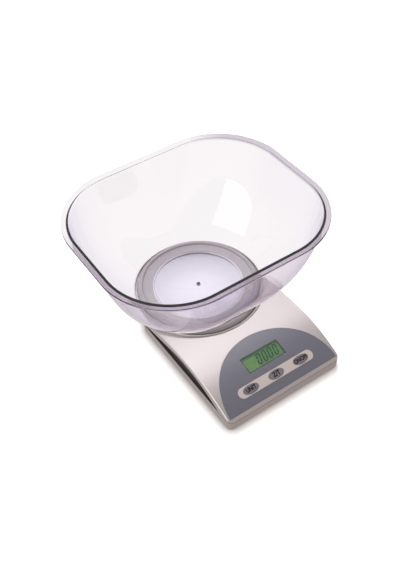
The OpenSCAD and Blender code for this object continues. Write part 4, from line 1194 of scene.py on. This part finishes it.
# %% Screw tree
head_radius = 2.8 * MM
screw_tree, given = geometry_tree(
    "cross_screw",
    ("Head radius", "Float", head_radius), ("Head height", "Float", 2 * MM),
    ("Shank radius", "Float", 1.25 * MM), ("Shank length", "Float", 11.5 * MM),
    ("Recess width", "Float", 0.7 * MM),
)


def share_of(label, share):
    return maths(screw_tree, "MULTIPLY", given[label], share)


head = add_node(screw_tree, "GeometryNodeMeshCone", Vertices=36, Radius_Top=given["Head radius"],
                Radius_Bottom=share_of("Head radius", 0.72), Depth=given["Head height"])
shank = add_node(screw_tree, "GeometryNodeMeshCylinder", Vertices=24, Radius=given["Shank radius"],
                 Depth=given["Shank length"])
shank_lift = maths(screw_tree, "ADD", share_of("Shank length", 0.5), share_of("Head height", 0.98))
lift = add_node(screw_tree, "ShaderNodeCombineXYZ", Z=shank_lift)
lifted = add_node(screw_tree, "GeometryNodeTransform", Geometry=shank.outputs["Mesh"],
                  Translation=lift.outputs[0])
carve = screw_tree.nodes.new("GeometryNodeMeshBoolean")
carve.operation = "DIFFERENCE"
fill(screw_tree, carve.inputs["Mesh 1"], head.outputs["Mesh"])
for long_way in ("X", "Y"):
    sizes = {"X": given["Recess width"], "Y": given["Recess width"], "Z": share_of("Head height", 1.1)}
    sizes[long_way] = share_of("Head radius", 0.95)
    size = add_node(screw_tree, "ShaderNodeCombineXYZ", **sizes)
    cut = add_node(screw_tree, "GeometryNodeMeshCube", Size=size.outputs[0])
    fill(screw_tree, carve.inputs["Mesh 2"], cut.outputs["Mesh"])
whole = screw_tree.nodes.new("GeometryNodeJoinGeometry")
fill(screw_tree, whole.inputs["Geometry"], carve.outputs["Mesh"])
fill(screw_tree, whole.inputs["Geometry"], lifted.outputs["Geometry"])
copies = add_node(screw_tree, "GeometryNodeInstanceOnPoints", Points=given["Geometry"],
                  Instance=whole.outputs["Geometry"])
end_tree(screw_tree, copies.outputs["Instances"], given)

# %% Screws of the housing
screw_low, screw_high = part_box("housing_screws")
screw_x = screw_high.x - head_radius
places = [(screw_x, -118 * MM), (screw_x, -45 * MM), (47 * MM, 22 * MM)]
points = [(side * x, axis_y + y, screw_low.z) for x, y in places for side in (-1, 1)]
screw_points = new_mesh("screw_points", points)
steel = bpy.data.materials["zinc_steel"]
screws = grow("cross_screws", screw_points, screw_tree, Finish=steel)
settle(screws, "housing", "screw_steel", steel, "housing_screws")

# %% [markdown]
# Battery springs
#
# Each cell is pressed by a coil of nickel wire that narrows towards the cell. The tree
# winds a spiral, gives it the wire's thickness, and sets one at each point. An attribute
# on the point says which way it faces.

# %% Spring tree
wire_radius, coil_radius = 0.35 * MM, 2.8 * MM
coil_tree, given = geometry_tree(
    "battery_coil",
    ("Turns", "Float", 3.0), ("Wide end", "Float", coil_radius), ("Narrow end", "Float", 1.7 * MM),
    ("Length", "Float", 2.0 * MM), ("Wire radius", "Float", wire_radius),
)
spiral = add_node(coil_tree, "GeometryNodeCurveSpiral", Resolution=28, Rotations=given["Turns"],
                  Start_Radius=given["Wide end"], End_Radius=given["Narrow end"], Height=given["Length"])
wire = add_node(coil_tree, "GeometryNodeCurvePrimitiveCircle", Resolution=10, Radius=given["Wire radius"])
tube = add_node(coil_tree, "GeometryNodeCurveToMesh", Curve=spiral.outputs["Curve"],
                Profile_Curve=wire.outputs["Curve"], Fill_Caps=True)
laid = add_node(coil_tree, "GeometryNodeTransform", Geometry=tube.outputs["Mesh"],
                Rotation=(0.0, math.pi / 2, 0.0))
facing = add_node(coil_tree, "GeometryNodeInputNamedAttribute", Name="facing")
spin = add_node(coil_tree, "ShaderNodeCombineXYZ", Z=facing.outputs["Attribute"])
copies = add_node(coil_tree, "GeometryNodeInstanceOnPoints", Points=given["Geometry"],
                  Instance=laid.outputs["Geometry"], Rotation=spin.outputs[0])
end_tree(coil_tree, copies.outputs["Instances"], given)

# %% Springs
spring_low, spring_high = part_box("battery_springs")
spring_z = (spring_low.z + spring_high.z) / 2
off_edge = coil_radius + wire_radius
spring_points = new_mesh("spring_points", [
    (spring_low.x + wire_radius, spring_high.y - off_edge, spring_z),
    (spring_high.x - wire_radius, spring_low.y + off_edge, spring_z),
])
held = spring_points.attributes.new("facing", "FLOAT", "POINT")
held.data.foreach_set("value", [0.0, math.pi])
nickel = bpy.data.materials["nickel_contact"]
springs = grow("nickel_springs", spring_points, coil_tree, Finish=nickel)
settle(springs, "housing", "contact_metal", nickel, "battery_springs")

# %% [markdown]
# Grip ridges on the battery door
#
# Two short rows of ridges beside the finger hollow keep a thumb from slipping. They are
# one straight bar, repeated by the same tree as the digits.

# %% Door ridges
ridge_pitch, ridge_inset = 1.6 * MM, 6 * MM
half_ridge, half_length = 0.35 * MM, 4.0 * MM
ridge_foot, ridge_top = -0.25 * MM, 0.05 * MM

door_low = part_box("battery_door")[0]
ridge = [(x * half_ridge, y * half_length) for x, y in ((-1, -1), (1, -1), (1, 1), (-1, 1))]
for name, start_x in (("door_ridges_left", -14 * MM), ("door_ridges_right", 6 * MM)):
    ridge_mesh = prism([ridge], ridge_foot, ridge_top, name + "_bar")
    start = (start_x, door_low.y + ridge_inset, door_low.z)
    ridges = grow(name, ridge_mesh, row_tree, Count=6, Start=start, Step=(ridge_pitch, 0.0, 0.0),
                  Finish=tray_silver)
    settle(ridges, "battery_door", "tray_plastic", tray_silver)
